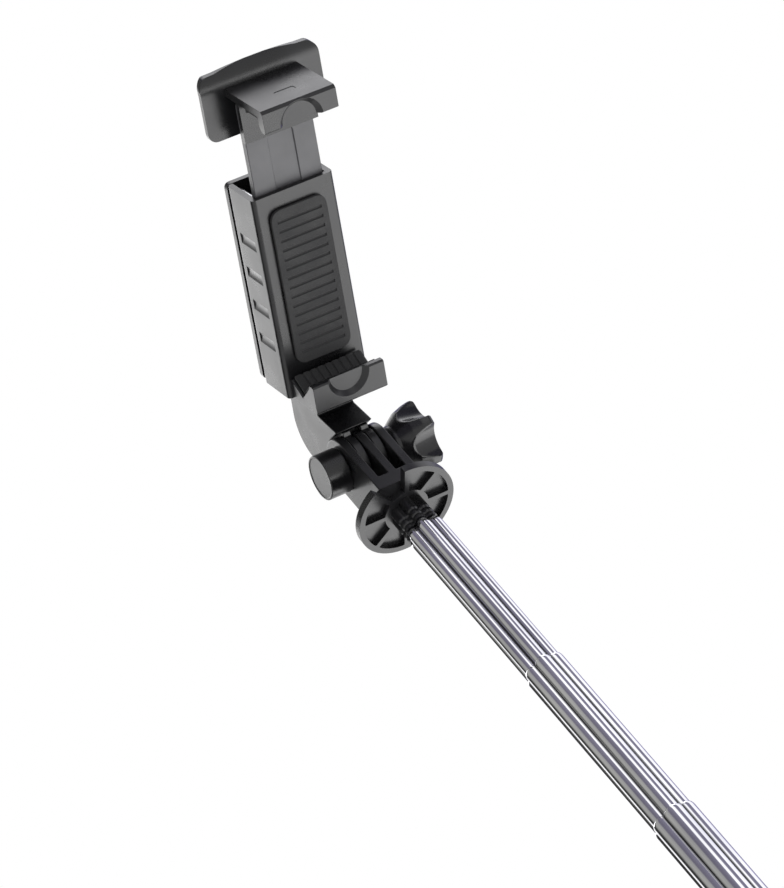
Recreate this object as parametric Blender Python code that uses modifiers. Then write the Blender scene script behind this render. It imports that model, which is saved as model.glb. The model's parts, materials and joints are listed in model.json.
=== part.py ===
"""Selfie stick: sprung phone clamp on a three-eared hinge, six-lobed telescopic pole and remote handle.

Units are metres, +Z runs up the pole and the origin is the centre of the handle's flat end.
The clamp is modelled upright round its hinge axis, then tilted by the empty it hangs from:
in the clamp's own frame +Z runs from the lower jaw to the upper jaw and +Y points behind the phone.
"""

import math

import bmesh
import bpy
from mathutils import Matrix, Vector

MM = 0.001
GAP = 0.3 * MM

# Pole: six-lobed tubes, each sliding in the next one down.
SECTIONS = 5
LOBES = 6
LOBE_CENTRE = 3.26 * MM
LOBE_RADIUS = 1.74 * MM
LOBE_TURN = math.radians(18)
LOBE_STEPS = 8
TUBE_STEP = 0.45 * MM
TUBE_WALL = 0.25 * MM
EXPOSED = 52.6 * MM
TUBE_LENGTH = 66.1 * MM
GLIDE_SHANK = 2.4 * MM
GLIDE_FLANGE = 1.5 * MM

# Handle.
HANDLE_LENGTH = 118.0 * MM
CAP_RADIUS = 13.1 * MM
CAP_HEIGHT = 9.0 * MM
COLLAR_HEIGHT = 3.0 * MM
SHELL_RADIUS = 12.2 * MM
SHELL_WALL = 1.6 * MM
SPIGOT = 9.0 * MM
GRIP_RADIUS = 13.8 * MM
GRIP_LOW = 38.0 * MM
GRIP_HIGH = 111.0 * MM
GRIP_GROOVES = 5
BUTTON_HEIGHT = 84.0 * MM
BUTTON_RADIUS = 3.6 * MM
PORT_HEIGHT = 26.0 * MM

# Head: ribbed disc, fork with three ears, pivot bolt and star knob.
DISC_RADIUS = 13.1 * MM
DISC_TOP = -17.9 * MM
DISC_UNDER = -19.9 * MM
POCKETS = 8
HUB_END = -27.2 * MM
EAR_RADIUS = 7.5 * MM
EAR_WIDTH = 2.2 * MM
LUG_WIDTH = 2.1 * MM
LUG_RADIUS = 7.2 * MM
SLOT_FLOOR = -13.0 * MM
BOLT_RADIUS = 1.95 * MM
BOLT_HOLE = 2.25 * MM
NUT_CAP_RADIUS = 5.7 * MM
NUT_CAP_END = -12.2 * MM
KNOB_RADIUS = 8.9 * MM
KNOB_START = 7.4 * MM
KNOB_END = 17.5 * MM
KNOB_LOBES = 5

# Clamp, in its own frame from the hinge axis.
TILT = math.radians(73.1)
JAW_HALF = 9.8 * MM
LIP_FRONT = -0.1 * MM
LIP_BACK = 2.5 * MM
FLOOR_LOW = 16.6 * MM
LIP_HIGH = 23.9 * MM
GROOVE = [(2.5 * MM, 22.5 * MM), (6.6 * MM, 18.6 * MM), (11.3 * MM, 21.6 * MM)]
UPPER_LIP_LOW = 91.1 * MM
UPPER_FLOOR = 94.9 * MM
UPPER_TOP = 96.8 * MM
SCOOP_RADIUS = 5.8 * MM
SCOOP_DEPTH = 1.5 * MM
HOUSING_HALF = 11.0 * MM
HOUSING_FRONT = 11.8 * MM
HOUSING_BACK = 24.4 * MM
HOUSING_TOP = 70.0 * MM
HOUSING_WALL = 1.3 * MM
COVER_BACK = 26.2 * MM
POST_HALF = 1.55 * MM
POST_REACH = 10.2 * MM
ARM_HALF = 5.0 * MM
ARM_CLEAR = 7.9 * MM
SLIDE_FRONT = 13.4 * MM
SLIDE_BACK = 15.4 * MM
PADDLE_FRONT = 18.2 * MM
PADDLE_HALF = 15.9 * MM
PADDLE_LOW = 84.6 * MM
PADDLE_BEND = 96.5 * MM
PADDLE_CURVE = 6.5 * MM
SPRING_X = 3.4 * MM
SPRING_Y = 20.0 * MM
SPRING_RADIUS = 1.8 * MM
SPRING_WIRE = 0.32 * MM
SPRING_TURNS = 11

HANDLE_TOP = HANDLE_LENGTH
HINGE_HEIGHT = HANDLE_TOP + SECTIONS * EXPOSED - HUB_END
LUG_X = (-(LUG_WIDTH + EAR_WIDTH) / 2 - GAP, (LUG_WIDTH + EAR_WIDTH) / 2 + GAP)
FORK_HALF = LUG_WIDTH + EAR_WIDTH * 1.5 + 2 * GAP


# ---------------------------------------------------------------- helpers


def clear_scene():
    for old in list(bpy.data.objects):
        bpy.data.objects.remove(old, do_unlink=True)


def new_collection(name):
    made = bpy.data.collections.new(name)
    bpy.context.scene.collection.children.link(made)
    return made


def material(name, colour, roughness, metallic=0.0):
    made = bpy.data.materials.new(name)
    made.use_nodes = True
    shader = made.node_tree.nodes["Principled BSDF"]
    shader.inputs["Base Color"].default_value = (*colour, 1.0)
    shader.inputs["Roughness"].default_value = roughness
    shader.inputs["Metallic"].default_value = metallic
    made.diffuse_color = (*colour, 1.0)
    return made


def empty(name, place, turn=0.0, parent=None):
    made = bpy.data.objects.new(name, None)
    made.empty_display_size = 0.01
    made.location = place
    made.rotation_euler = (turn, 0.0, 0.0)
    made.parent = parent
    parts.objects.link(made)
    return made


def add(name, mesh, finish, parent):
    made = bpy.data.objects.new(name, mesh)
    made.parent = parent
    if finish is None:
        made.hide_render = True
        made.display_type = "WIRE"
        cutters.objects.link(made)
    else:
        mesh.materials.append(finish)
        parts.objects.link(made)
    return made


def bmesh_object(name, bm, finish, parent):
    mesh = bpy.data.meshes.new(name)
    bm.to_mesh(mesh)
    bm.free()
    mesh.shade_smooth()
    mesh.set_sharp_from_angle(angle=math.radians(32))
    return add(name, mesh, finish, parent)


def block(name, low, high, finish=None, parent=None):
    low, high = Vector(low), Vector(high)
    bm = bmesh.new()
    size = Matrix.Diagonal((*(high - low), 1.0))
    bmesh.ops.create_cube(bm, size=1.0, matrix=Matrix.Translation((low + high) / 2) @ size)
    return bmesh_object(name, bm, finish, parent)


def turn_to(axis):
    return Vector((0, 0, 1)).rotation_difference(Vector(axis)).to_matrix().to_4x4()


def rod(name, start, end, radius, segments=24, end_radius=None, finish=None, parent=None):
    start, end = Vector(start), Vector(end)
    bm = bmesh.new()
    place = Matrix.Translation((start + end) / 2) @ turn_to(end - start)
    bmesh.ops.create_cone(
        bm,
        cap_ends=True,
        segments=segments,
        radius1=radius,
        radius2=radius if end_radius is None else end_radius,
        depth=(end - start).length,
        matrix=place,
    )
    return bmesh_object(name, bm, finish, parent)


def prism(name, outlines, low, high, axis="Z", finish=None, parent=None):
    """A flat outline, with holes where more outlines are given, made solid from low to high along an axis.

    Outlines are (x, y) for axis Z, (y, z) for axis X and (x, z) for axis Y.
    """
    curve = bpy.data.curves.new(name, "CURVE")
    curve.dimensions = "2D"
    curve.fill_mode = "BOTH"
    curve.extrude = (high - low) / 2
    for outline in outlines:
        spline = curve.splines.new("POLY")
        spline.points.add(len(outline) - 1)
        for point, (a, b) in zip(spline.points, outline):
            point.co = (a, b, 0.0, 1.0)
        spline.use_cyclic_u = True
    holder = bpy.data.objects.new(name + "_outline", curve)
    bpy.context.scene.collection.objects.link(holder)
    bpy.context.view_layer.update()
    evaluated = holder.evaluated_get(bpy.context.evaluated_depsgraph_get())
    mesh = bpy.data.meshes.new_from_object(evaluated)
    bpy.data.objects.remove(holder, do_unlink=True)
    bpy.data.curves.remove(curve)
    mesh.name = name
    mesh.materials.clear()
    lift = Matrix.Translation((0, 0, (low + high) / 2))
    turns = {
        "Z": Matrix.Identity(4),
        "X": Matrix(((0, 0, 1, 0), (1, 0, 0, 0), (0, 1, 0, 0), (0, 0, 0, 1))),
        "Y": Matrix(((1, 0, 0, 0), (0, 0, -1, 0), (0, 1, 0, 0), (0, 0, 0, 1))),
    }
    mesh.transform(turns[axis] @ lift)
    bm = bmesh.new()
    bm.from_mesh(mesh)
    bmesh.ops.remove_doubles(bm, verts=bm.verts, dist=1e-6)
    bmesh.ops.recalc_face_normals(bm, faces=bm.faces)
    bpy.data.meshes.remove(mesh)
    return bmesh_object(name, bm, finish, parent)


def turned(name, profile, closed, segments, axis=(0, 0, 1), finish=None, parent=None):
    """A profile of (radius, height) points, running down its outer side, turned about an axis."""
    mesh = bpy.data.meshes.new(name)
    count = len(profile)
    edges = [(i, (i + 1) % count) for i in range(count if closed else count - 1)]
    mesh.from_pydata([(r, 0.0, h) for r, h in profile], edges, [])
    made = add(name, mesh, finish, parent)
    made.rotation_euler = turn_to(axis).to_euler()
    screw = made.modifiers.new("Turn", "SCREW")
    screw.steps = screw.render_steps = segments
    screw.use_merge_vertices = True
    screw.merge_threshold = 0.000001
    screw.use_smooth_shade = True
    return made


def boolean(target, other, operation):
    change = target.modifiers.new(other.name, "BOOLEAN")
    change.operation = operation
    change.object = other
    change.solver = "EXACT"


def cut(target, *others):
    for other in others:
        boolean(target, other, "DIFFERENCE")


def join(target, *others):
    for other in others:
        boolean(target, other, "UNION")


def soften(target, width, segments=2, angle=40):
    edge = target.modifiers.new("Soften", "BEVEL")
    edge.width = width
    edge.segments = segments
    edge.limit_method = "ANGLE"
    edge.angle_limit = math.radians(angle)
    edge.use_clamp_overlap = True


def arc(centre, radius, start, end, steps):
    """Points on an arc, angles in degrees from the outline's first axis towards its second."""
    return [
        (
            centre[0] + radius * math.cos(math.radians(start + (end - start) * i / steps)),
            centre[1] + radius * math.sin(math.radians(start + (end - start) * i / steps)),
        )
        for i in range(steps + 1)
    ]


def rounded(low, high, radius, steps=3):
    """A rectangle with rounded corners."""
    (x0, y0), (x1, y1) = low, high
    return (
        arc((x1 - radius, y0 + radius), radius, -90, 0, steps)
        + arc((x1 - radius, y1 - radius), radius, 0, 90, steps)
        + arc((x0 + radius, y1 - radius), radius, 90, 180, steps)
        + arc((x0 + radius, y0 + radius), radius, 180, 270, steps)
    )


def lobed(grow):
    """The pole's outline: a ring of overlapping circles, grown or shrunk evenly from the top tube's outside."""
    radius = LOBE_RADIUS + max(grow, 0.0)
    spread = math.pi / LOBES
    valley = LOBE_CENTRE * math.cos(spread) + math.sqrt(radius**2 - (LOBE_CENTRE * math.sin(spread)) ** 2)
    reach = math.atan2(valley * math.sin(spread), valley * math.cos(spread) - LOBE_CENTRE)
    points = []
    normals = []
    for lobe in range(LOBES):
        axis = LOBE_TURN + lobe * 2 * spread
        for step in range(LOBE_STEPS):
            turn = -reach + 2 * reach * step / LOBE_STEPS
            centre = Vector((math.cos(axis), math.sin(axis))) * LOBE_CENTRE
            normal = Vector((math.cos(axis + turn), math.sin(axis + turn)))
            points.append(centre + normal * radius)
            if step == 0:
                normal = Vector((math.cos(axis - spread), math.sin(axis - spread)))
            normals.append(normal)
    shrink = min(grow, 0.0)
    return [tuple(point + normal * shrink) for point, normal in zip(points, normals)]


# ---------------------------------------------------------------- pole


def tube_top(section):
    """Height of a tube's upper end; section 1 is the thinnest and SECTIONS + 1 is fixed in the handle."""
    return HANDLE_TOP + (SECTIONS + 1 - section) * EXPOSED


def make_tube(section, parent):
    outside = (section - 1) * TUBE_STEP
    top = tube_top(section)
    return prism(
        f"pole_tube_{section}",
        [lobed(outside), lobed(outside - TUBE_WALL)],
        top - TUBE_LENGTH,
        top,
        finish=steel,
        parent=parent,
    )


def make_glide(section, parent):
    """Plastic glide in a tube's lower end; its flange runs in the next tube and keeps the two in line."""
    outside = (section - 1) * TUBE_STEP
    bottom = tube_top(section) - TUBE_LENGTH
    glide = prism(
        f"tube_glide_{section}",
        [lobed(outside)],
        bottom - GAP - GLIDE_FLANGE,
        bottom - GAP,
        finish=black_plastic,
        parent=parent,
    )
    shank = rod(
        f"glide_shank_{section}",
        (0, 0, bottom - GAP - GLIDE_FLANGE / 2),
        (0, 0, bottom - GAP + GLIDE_SHANK),
        LOBE_CENTRE - 0.5 * MM + outside,
        18,
        parent=parent,
    )
    join(glide, shank)


# ---------------------------------------------------------------- handle


def make_handle():
    fixed = SECTIONS * TUBE_STEP
    inner = SHELL_RADIUS - SHELL_WALL
    fitted = inner - GAP

    end_cap = turned(
        "end_cap",
        [
            (0, CAP_HEIGHT),
            (fitted - 1.6 * MM, CAP_HEIGHT),
            (fitted - 1.6 * MM, CAP_HEIGHT + SPIGOT),
            (fitted, CAP_HEIGHT + SPIGOT),
            (fitted, CAP_HEIGHT),
            (CAP_RADIUS, CAP_HEIGHT),
            (CAP_RADIUS, 1.2 * MM),
            (CAP_RADIUS - 1.2 * MM, 0),
            (0, 0),
        ],
        False,
        40,
        finish=black_plastic,
    )
    strap_pocket = block("strap_pocket", (-2.6 * MM, 7.2 * MM, 1.7 * MM), (2.6 * MM, 15 * MM, 7.3 * MM))
    pin_y, pin_z = 10.9 * MM, CAP_HEIGHT / 2
    pin_hole = rod("strap_pin_hole", (-5.0 * MM, pin_y, pin_z), (5.0 * MM, pin_y, pin_z), 1.1 * MM, 12)
    cut(end_cap, strap_pocket, pin_hole)
    rod("strap_pin", (-4.7 * MM, pin_y, pin_z), (4.7 * MM, pin_y, pin_z), 0.8 * MM, 12, finish=steel)

    shell_low = CAP_HEIGHT + GAP
    shell_high = HANDLE_TOP - COLLAR_HEIGHT - GAP
    shell = turned(
        "handle_shell",
        [(SHELL_RADIUS, shell_high), (SHELL_RADIUS, shell_low), (inner, shell_low), (inner, shell_high)],
        True,
        40,
        finish=black_plastic,
    )
    reach = (0, -20 * MM, BUTTON_HEIGHT)
    button_window = rod("button_window", (0, -9 * MM, BUTTON_HEIGHT), reach, BUTTON_RADIUS + GAP, 20)
    port_window = block(
        "port_window",
        (-4.1 * MM, -20 * MM, PORT_HEIGHT - 1.8 * MM),
        (4.1 * MM, -9 * MM, PORT_HEIGHT + 1.8 * MM),
    )
    cut(shell, button_window, port_window)

    collar = turned(
        "top_collar",
        [
            (0, HANDLE_TOP),
            (CAP_RADIUS - 0.8 * MM, HANDLE_TOP),
            (CAP_RADIUS, HANDLE_TOP - 0.8 * MM),
            (CAP_RADIUS, HANDLE_TOP - COLLAR_HEIGHT),
            (fitted, HANDLE_TOP - COLLAR_HEIGHT),
            (fitted, HANDLE_TOP - COLLAR_HEIGHT - SPIGOT),
            (0, HANDLE_TOP - COLLAR_HEIGHT - SPIGOT),
        ],
        False,
        40,
        finish=black_plastic,
    )
    bore = prism("collar_bore", [lobed(fixed + GAP)], HANDLE_TOP - 20 * MM, HANDLE_TOP + 5 * MM)
    cut(collar, bore)

    # The tube's lower end sits in a ring that is notched for the circuit board.
    tube_low = HANDLE_TOP - TUBE_LENGTH
    holder = turned(
        "tube_holder",
        [
            (0, tube_low + 9 * MM),
            (fitted, tube_low + 9 * MM),
            (fitted, tube_low + 1 * MM),
            (0, tube_low + 1 * MM),
        ],
        False,
        32,
        finish=black_plastic,
    )
    holder_bore = prism("holder_bore", [lobed(fixed + GAP)], tube_low - 5 * MM, tube_low + 20 * MM)
    board_notch = block(
        "board_notch",
        (-4.6 * MM, -14 * MM, tube_low - 5 * MM),
        (4.6 * MM, -8.0 * MM, tube_low + 20 * MM),
    )
    cut(holder, board_notch, holder_bore)

    # Soft sleeve with turned grooves.
    sleeve_inner = SHELL_RADIUS + GAP
    land = (GRIP_HIGH - GRIP_LOW) / (2 * GRIP_GROOVES + 1)
    outer = [(GRIP_RADIUS - 0.9 * MM, GRIP_HIGH), (GRIP_RADIUS, GRIP_HIGH - 0.9 * MM)]
    for groove in range(GRIP_GROOVES):
        start = GRIP_HIGH - (2 * groove + 1.25) * land
        middle = start - land * 0.5
        if abs(middle - BUTTON_HEIGHT) > BUTTON_RADIUS + 2.5 * MM:
            outer += [
                (GRIP_RADIUS, start),
                (GRIP_RADIUS - 0.55 * MM, start - 0.6 * MM),
                (GRIP_RADIUS - 0.55 * MM, start - land + 0.6 * MM),
                (GRIP_RADIUS, start - land),
            ]
    outer += [(GRIP_RADIUS, GRIP_LOW + 0.9 * MM), (GRIP_RADIUS - 0.9 * MM, GRIP_LOW)]
    sleeve = turned(
        "grip_sleeve",
        outer + [(sleeve_inner, GRIP_LOW), (sleeve_inner, GRIP_HIGH)],
        True,
        32,
        finish=rubber,
    )
    sleeve_window = rod("sleeve_window", (0, -9 * MM, BUTTON_HEIGHT), reach, BUTTON_RADIUS + 0.6 * MM, 20)
    cut(sleeve, sleeve_window)

    button_axis = empty("button_press", (0, -SHELL_RADIUS, BUTTON_HEIGHT))
    turned(
        "shutter_button",
        [
            (0, 2.3 * MM),
            (BUTTON_RADIUS * 0.62, 2.15 * MM),
            (BUTTON_RADIUS - 0.25 * MM, 1.6 * MM),
            (BUTTON_RADIUS, 1.1 * MM),
            (BUTTON_RADIUS, -1.3 * MM),
            (0, -1.3 * MM),
        ],
        False,
        24,
        axis=(0, -1, 0),
        finish=button_plastic,
        parent=button_axis,
    )

    block("circuit_board", (-4.0 * MM, -9.2 * MM, 21 * MM), (4.0 * MM, -8.4 * MM, 92 * MM), finish=board)
    block(
        "button_switch",
        (-2.3 * MM, -10.1 * MM, BUTTON_HEIGHT - 2.3 * MM),
        (2.3 * MM, -9.5 * MM, BUTTON_HEIGHT + 2.3 * MM),
        finish=steel,
    )
    port = block(
        "charge_port",
        (-3.7 * MM, -12.0 * MM, PORT_HEIGHT - 1.4 * MM),
        (3.7 * MM, -9.5 * MM, PORT_HEIGHT + 1.4 * MM),
        finish=steel,
    )
    port_mouth = block(
        "port_mouth",
        (-3.3 * MM, -14 * MM, PORT_HEIGHT - 0.95 * MM),
        (3.3 * MM, -10.2 * MM, PORT_HEIGHT + 0.95 * MM),
    )
    cut(port, port_mouth)
    battery = block("battery", (-5.2 * MM, -3.2 * MM, 13 * MM), (5.2 * MM, 1.8 * MM, 47 * MM), finish=foil)
    soften(battery, 0.8 * MM, 1)


# ---------------------------------------------------------------- head


def pocket_outline(middle, half, inner, outer, steps=3):
    """A sector between two radii, its sides parallel to the ribs beside it."""
    rib = 0.6 * MM
    inner_half = half - math.degrees(math.asin(rib / inner))
    outer_half = half - math.degrees(math.asin(rib / outer))
    return arc((0, 0), outer, middle - outer_half, middle + outer_half, steps) + arc(
        (0, 0), inner, middle + inner_half, middle - inner_half, steps
    )


def make_fork(parent):
    fork = rod("fork_head", (0, 0, DISC_UNDER), (0, 0, DISC_TOP), DISC_RADIUS, 48, finish=black_plastic, parent=parent)
    ears = prism(
        "fork_ears",
        [[(EAR_RADIUS, DISC_TOP - 1 * MM)] + arc((0, 0), EAR_RADIUS, 0, 180, 14) + [(-EAR_RADIUS, DISC_TOP - 1 * MM)]],
        -FORK_HALF,
        FORK_HALF,
        axis="X",
        parent=parent,
    )
    for number, middle in enumerate(LUG_X):
        half = LUG_WIDTH / 2 + GAP
        slot = block(
            f"fork_slot_{number}",
            (middle - half, -12 * MM, SLOT_FLOOR),
            (middle + half, 12 * MM, 12 * MM),
            parent=parent,
        )
        cut(ears, slot)
    hole = rod("fork_hole", (-12 * MM, 0, 0), (12 * MM, 0, 0), BOLT_HOLE, 20, parent=parent)
    cut(ears, hole)
    join(fork, ears)

    half = 180 / POCKETS
    for number in range(POCKETS):
        middle = -90 + half + number * 2 * half
        opened = number == POCKETS - 1
        pocket = prism(
            f"disc_pocket_{number}",
            [pocket_outline(middle, half, 6.0 * MM, (15.0 if opened else 11.6) * MM)],
            DISC_UNDER - 1 * MM,
            DISC_TOP + 0.05 * MM if opened else DISC_UNDER + 1.3 * MM,
            parent=parent,
        )
        cut(fork, pocket)
    hub = prism("fork_hub", [lobed(-0.25 * MM)], HUB_END + GAP, DISC_UNDER + 0.9 * MM, parent=parent)
    spigot = prism("fork_spigot", [lobed(-TUBE_WALL - GAP)], HUB_END - 8 * MM, HUB_END + 1 * MM, parent=parent)
    join(fork, hub, spigot)


def make_pivot(parent):
    nut_cap = rod(
        "nut_cap",
        (NUT_CAP_END, 0, 0),
        (-FORK_HALF - GAP, 0, 0),
        NUT_CAP_RADIUS,
        36,
        finish=black_plastic,
        parent=parent,
    )
    across = 3.5 * MM / math.cos(math.radians(30))
    nut_low = -10.4 * MM
    seat = rod(
        "nut_seat", (nut_low - GAP, 0, 0), (0, 0, 0), across + GAP / math.cos(math.radians(30)), 6, parent=parent
    )
    cut(nut_cap, seat)
    nut = rod("clamp_nut", (nut_low, 0, 0), (nut_low + 3.0 * MM, 0, 0), across, 6, finish=steel, parent=parent)
    cut(nut, rod("nut_bore", (-14 * MM, 0, 0), (0, 0, 0), BOLT_HOLE, 20, parent=parent))
    washer_start = FORK_HALF + GAP
    turned(
        "knob_washer",
        [
            (5.2 * MM, washer_start + 0.8 * MM),
            (5.2 * MM, washer_start),
            (BOLT_HOLE, washer_start),
            (BOLT_HOLE, washer_start + 0.8 * MM),
        ],
        True,
        32,
        axis=(1, 0, 0),
        finish=steel,
        parent=parent,
    )


def make_knob(parent):
    knob = turned(
        "star_knob",
        [
            (0, KNOB_END),
            (KNOB_RADIUS - 2.2 * MM, KNOB_END),
            (KNOB_RADIUS - 0.5 * MM, KNOB_END - 0.3 * MM),
            (KNOB_RADIUS, KNOB_END - 1.1 * MM),
            (KNOB_RADIUS - 1.0 * MM, KNOB_START + 4.2 * MM),
            (KNOB_RADIUS - 3.2 * MM, KNOB_START + 1.2 * MM),
            (5.2 * MM, KNOB_START),
            (0, KNOB_START),
        ],
        False,
        50,
        axis=(1, 0, 0),
        finish=black_plastic,
        parent=parent,
    )
    for number in range(KNOB_LOBES):
        turn = math.radians(131 + 360 / KNOB_LOBES * (number + 0.5))
        side = Vector((0, math.cos(turn), math.sin(turn)))
        start = side * 12.6 * MM + Vector((KNOB_START - 1 * MM, 0, 0))
        end = side * 10.4 * MM + Vector((KNOB_END + 1 * MM, 0, 0))
        flute = rod(f"knob_flute_{number}", start, end, 4.9 * MM, 22, parent=parent)
        cut(knob, flute)
    end = 14.0 * MM
    cut(knob, rod("knob_bore", (0, 0, 0), (end + GAP, 0, 0), BOLT_HOLE, 20, parent=parent))
    rod("pivot_bolt", (-10.4 * MM, 0, 0), (end, 0, 0), BOLT_RADIUS, 20, finish=steel, parent=parent)


# ---------------------------------------------------------------- clamp


def scoop(name, height, parent):
    """Thumb recess in the middle of a lip's front face."""
    return rod(
        name,
        (0, LIP_FRONT - 1 * MM, height),
        (0, LIP_FRONT + SCOOP_DEPTH, height),
        SCOOP_RADIUS + 0.9 * MM,
        28,
        end_radius=SCOOP_RADIUS - 1.6 * MM,
        parent=parent,
    )


def make_clamp_base(parent):
    base = block(
        "clamp_base",
        (-HOUSING_HALF, HOUSING_FRONT, FLOOR_LOW),
        (HOUSING_HALF, HOUSING_BACK, HOUSING_TOP),
        finish=black_plastic,
        parent=parent,
    )
    cavity_low = FLOOR_LOW + 1.8 * MM
    cavity = block(
        "housing_cavity",
        (-HOUSING_HALF + 1.5 * MM, HOUSING_FRONT + HOUSING_WALL, cavity_low),
        (HOUSING_HALF - 1.5 * MM, HOUSING_BACK + 5 * MM, HOUSING_TOP + 5 * MM),
        parent=parent,
    )
    cut(base, cavity)
    jaw = prism(
        "lower_hook",
        [
            [
                (LIP_FRONT, FLOOR_LOW),
                (LIP_FRONT, LIP_HIGH),
                (LIP_BACK - 0.9 * MM, LIP_HIGH),
                *GROOVE,
                (HOUSING_FRONT + 0.6 * MM, GROOVE[2][1]),
                (HOUSING_FRONT + 0.6 * MM, FLOOR_LOW + 0.4 * MM),
                (HOUSING_FRONT - 0.5 * MM, FLOOR_LOW),
            ]
        ],
        -JAW_HALF,
        JAW_HALF,
        axis="X",
        parent=parent,
    )
    cut(jaw, scoop("lower_scoop", LIP_HIGH, parent))
    join(base, jaw)
    # The arm's inner side clears the ears at both ends of the tilt.
    arm = prism(
        "clamp_arm",
        [
            [(HOUSING_FRONT + 2.0 * MM, FLOOR_LOW + 0.7 * MM), (10.5 * MM, 10.0 * MM), (1.8 * MM, 8.7 * MM)]
            + arc((0, 0), ARM_CLEAR, 57, 30, 4)
            + [(12.3 * MM, -5.5 * MM), (14.5 * MM, -5.4 * MM)]
            + arc((15.0 * MM, 4.6 * MM), 9.9 * MM, -80, -5, 8)
            + [(HOUSING_BACK + 0.3 * MM, FLOOR_LOW - 0.9 * MM), (HOUSING_BACK - 0.4 * MM, FLOOR_LOW + 0.7 * MM)]
        ],
        -ARM_HALF,
        ARM_HALF,
        axis="X",
        parent=parent,
    )
    join(base, arm)
    for number, middle in enumerate(LUG_X):
        lug = prism(
            f"clamp_lug_{number}",
            [
                [(12.5 * MM, 9.2 * MM), (1.6 * MM, 8.2 * MM)]
                + arc((0, 0), LUG_RADIUS, 80, 340, 22)
                + [(12.5 * MM, -2.9 * MM)]
            ],
            middle - LUG_WIDTH / 2,
            middle + LUG_WIDTH / 2,
            axis="X",
            parent=parent,
        )
        join(base, lug)
    cut(base, rod("lug_hole", (-12 * MM, 0, 0), (12 * MM, 0, 0), BOLT_HOLE, 20, parent=parent))
    for number, (x, z) in enumerate(cover_screw_places()):
        side = math.copysign(1, x)
        post = block(
            f"screw_post_{number}",
            (min(x - POST_HALF * side, side * POST_REACH), SLIDE_BACK + 0.5 * MM, z - POST_HALF),
            (max(x - POST_HALF * side, side * POST_REACH), HOUSING_BACK - 0.2 * MM, z + POST_HALF),
            parent=parent,
        )
        join(base, post)
    for number, (x, z) in enumerate(cover_screw_places()):
        cut(
            base,
            rod(
                f"post_hole_{number}",
                (x, SLIDE_BACK + 2 * MM, z),
                (x, HOUSING_BACK + 2 * MM, z),
                1.05 * MM,
                12,
                parent=parent,
            ),
        )


def cover_screw_places():
    return [(side * 8.0 * MM, z) for side in (-1, 1) for z in (FLOOR_LOW + 4.4 * MM, HOUSING_TOP - 2.4 * MM)]


def make_screws(name, places, head_y, tip_y, parent):
    """Pan-head screws along Y, heads towards +Y, each its own object."""
    head = 0.8 * MM
    for number, (x, z) in enumerate(places, start=1):
        screw = turned(
            f"{name}_{number}",
            [
                (0, head_y + head),
                (1.1 * MM, head_y + head),
                (1.5 * MM, head_y + head * 0.5),
                (1.5 * MM, head_y),
                (0.75 * MM, head_y),
                (0.75 * MM, tip_y),
                (0, tip_y),
            ],
            False,
            12,
            axis=(0, 1, 0),
            finish=steel,
            parent=parent,
        )
        screw.location = (x, 0, z)


def make_back_cover(parent):
    low = FLOOR_LOW + GAP
    cover = prism(
        "back_cover",
        [rounded((-HOUSING_HALF, low), (HOUSING_HALF, HOUSING_TOP), 1.5 * MM)],
        -COVER_BACK,
        -HOUSING_BACK - GAP,
        axis="Y",
        finish=black_plastic,
        parent=parent,
    )
    for number, (x, z) in enumerate(cover_screw_places()):
        cut(
            cover,
            rod(f"cover_hole_{number}", (x, 20 * MM, z), (x, 30 * MM, z), 1.1 * MM, 12, parent=parent),
            rod(
                f"cover_counterbore_{number}",
                (x, COVER_BACK - 1.0 * MM, z),
                (x, 30 * MM, z),
                1.8 * MM,
                16,
                parent=parent,
            ),
        )
    make_screws("cover_screw", cover_screw_places(), COVER_BACK - 0.7 * MM, SLIDE_BACK + 2.6 * MM, parent)


def make_springs(parent):
    low = FLOOR_LOW + 1.8 * MM + 0.7 * MM
    high = 53.0 * MM - 0.7 * MM
    per_turn = 9
    count = SPRING_TURNS * per_turn
    for name, x in (("clamp_spring_left", -SPRING_X), ("clamp_spring_right", SPRING_X)):
        curve = bpy.data.curves.new(name, "CURVE")
        curve.dimensions = "3D"
        curve.bevel_depth = SPRING_WIRE
        curve.bevel_resolution = 0
        curve.use_fill_caps = True
        spline = curve.splines.new("POLY")
        spline.points.add(count)
        for i, point in enumerate(spline.points):
            turn = 2 * math.pi * i / per_turn
            point.co = (
                x + SPRING_RADIUS * math.cos(turn),
                SPRING_Y + SPRING_RADIUS * math.sin(turn),
                low + (high - low) * i / count,
                1.0,
            )
        curve.materials.append(steel)
        made = bpy.data.objects.new(name, curve)
        made.parent = parent
        parts.objects.link(made)


def above_groove(y, rise):
    """A point over the lower jaw's V-shaped floor."""
    front, bottom, back = GROOVE
    other = front if y < bottom[0] else back
    share = (y - bottom[0]) / (other[0] - bottom[0])
    return y, bottom[1] + share * (other[1] - bottom[1]) + rise


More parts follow.
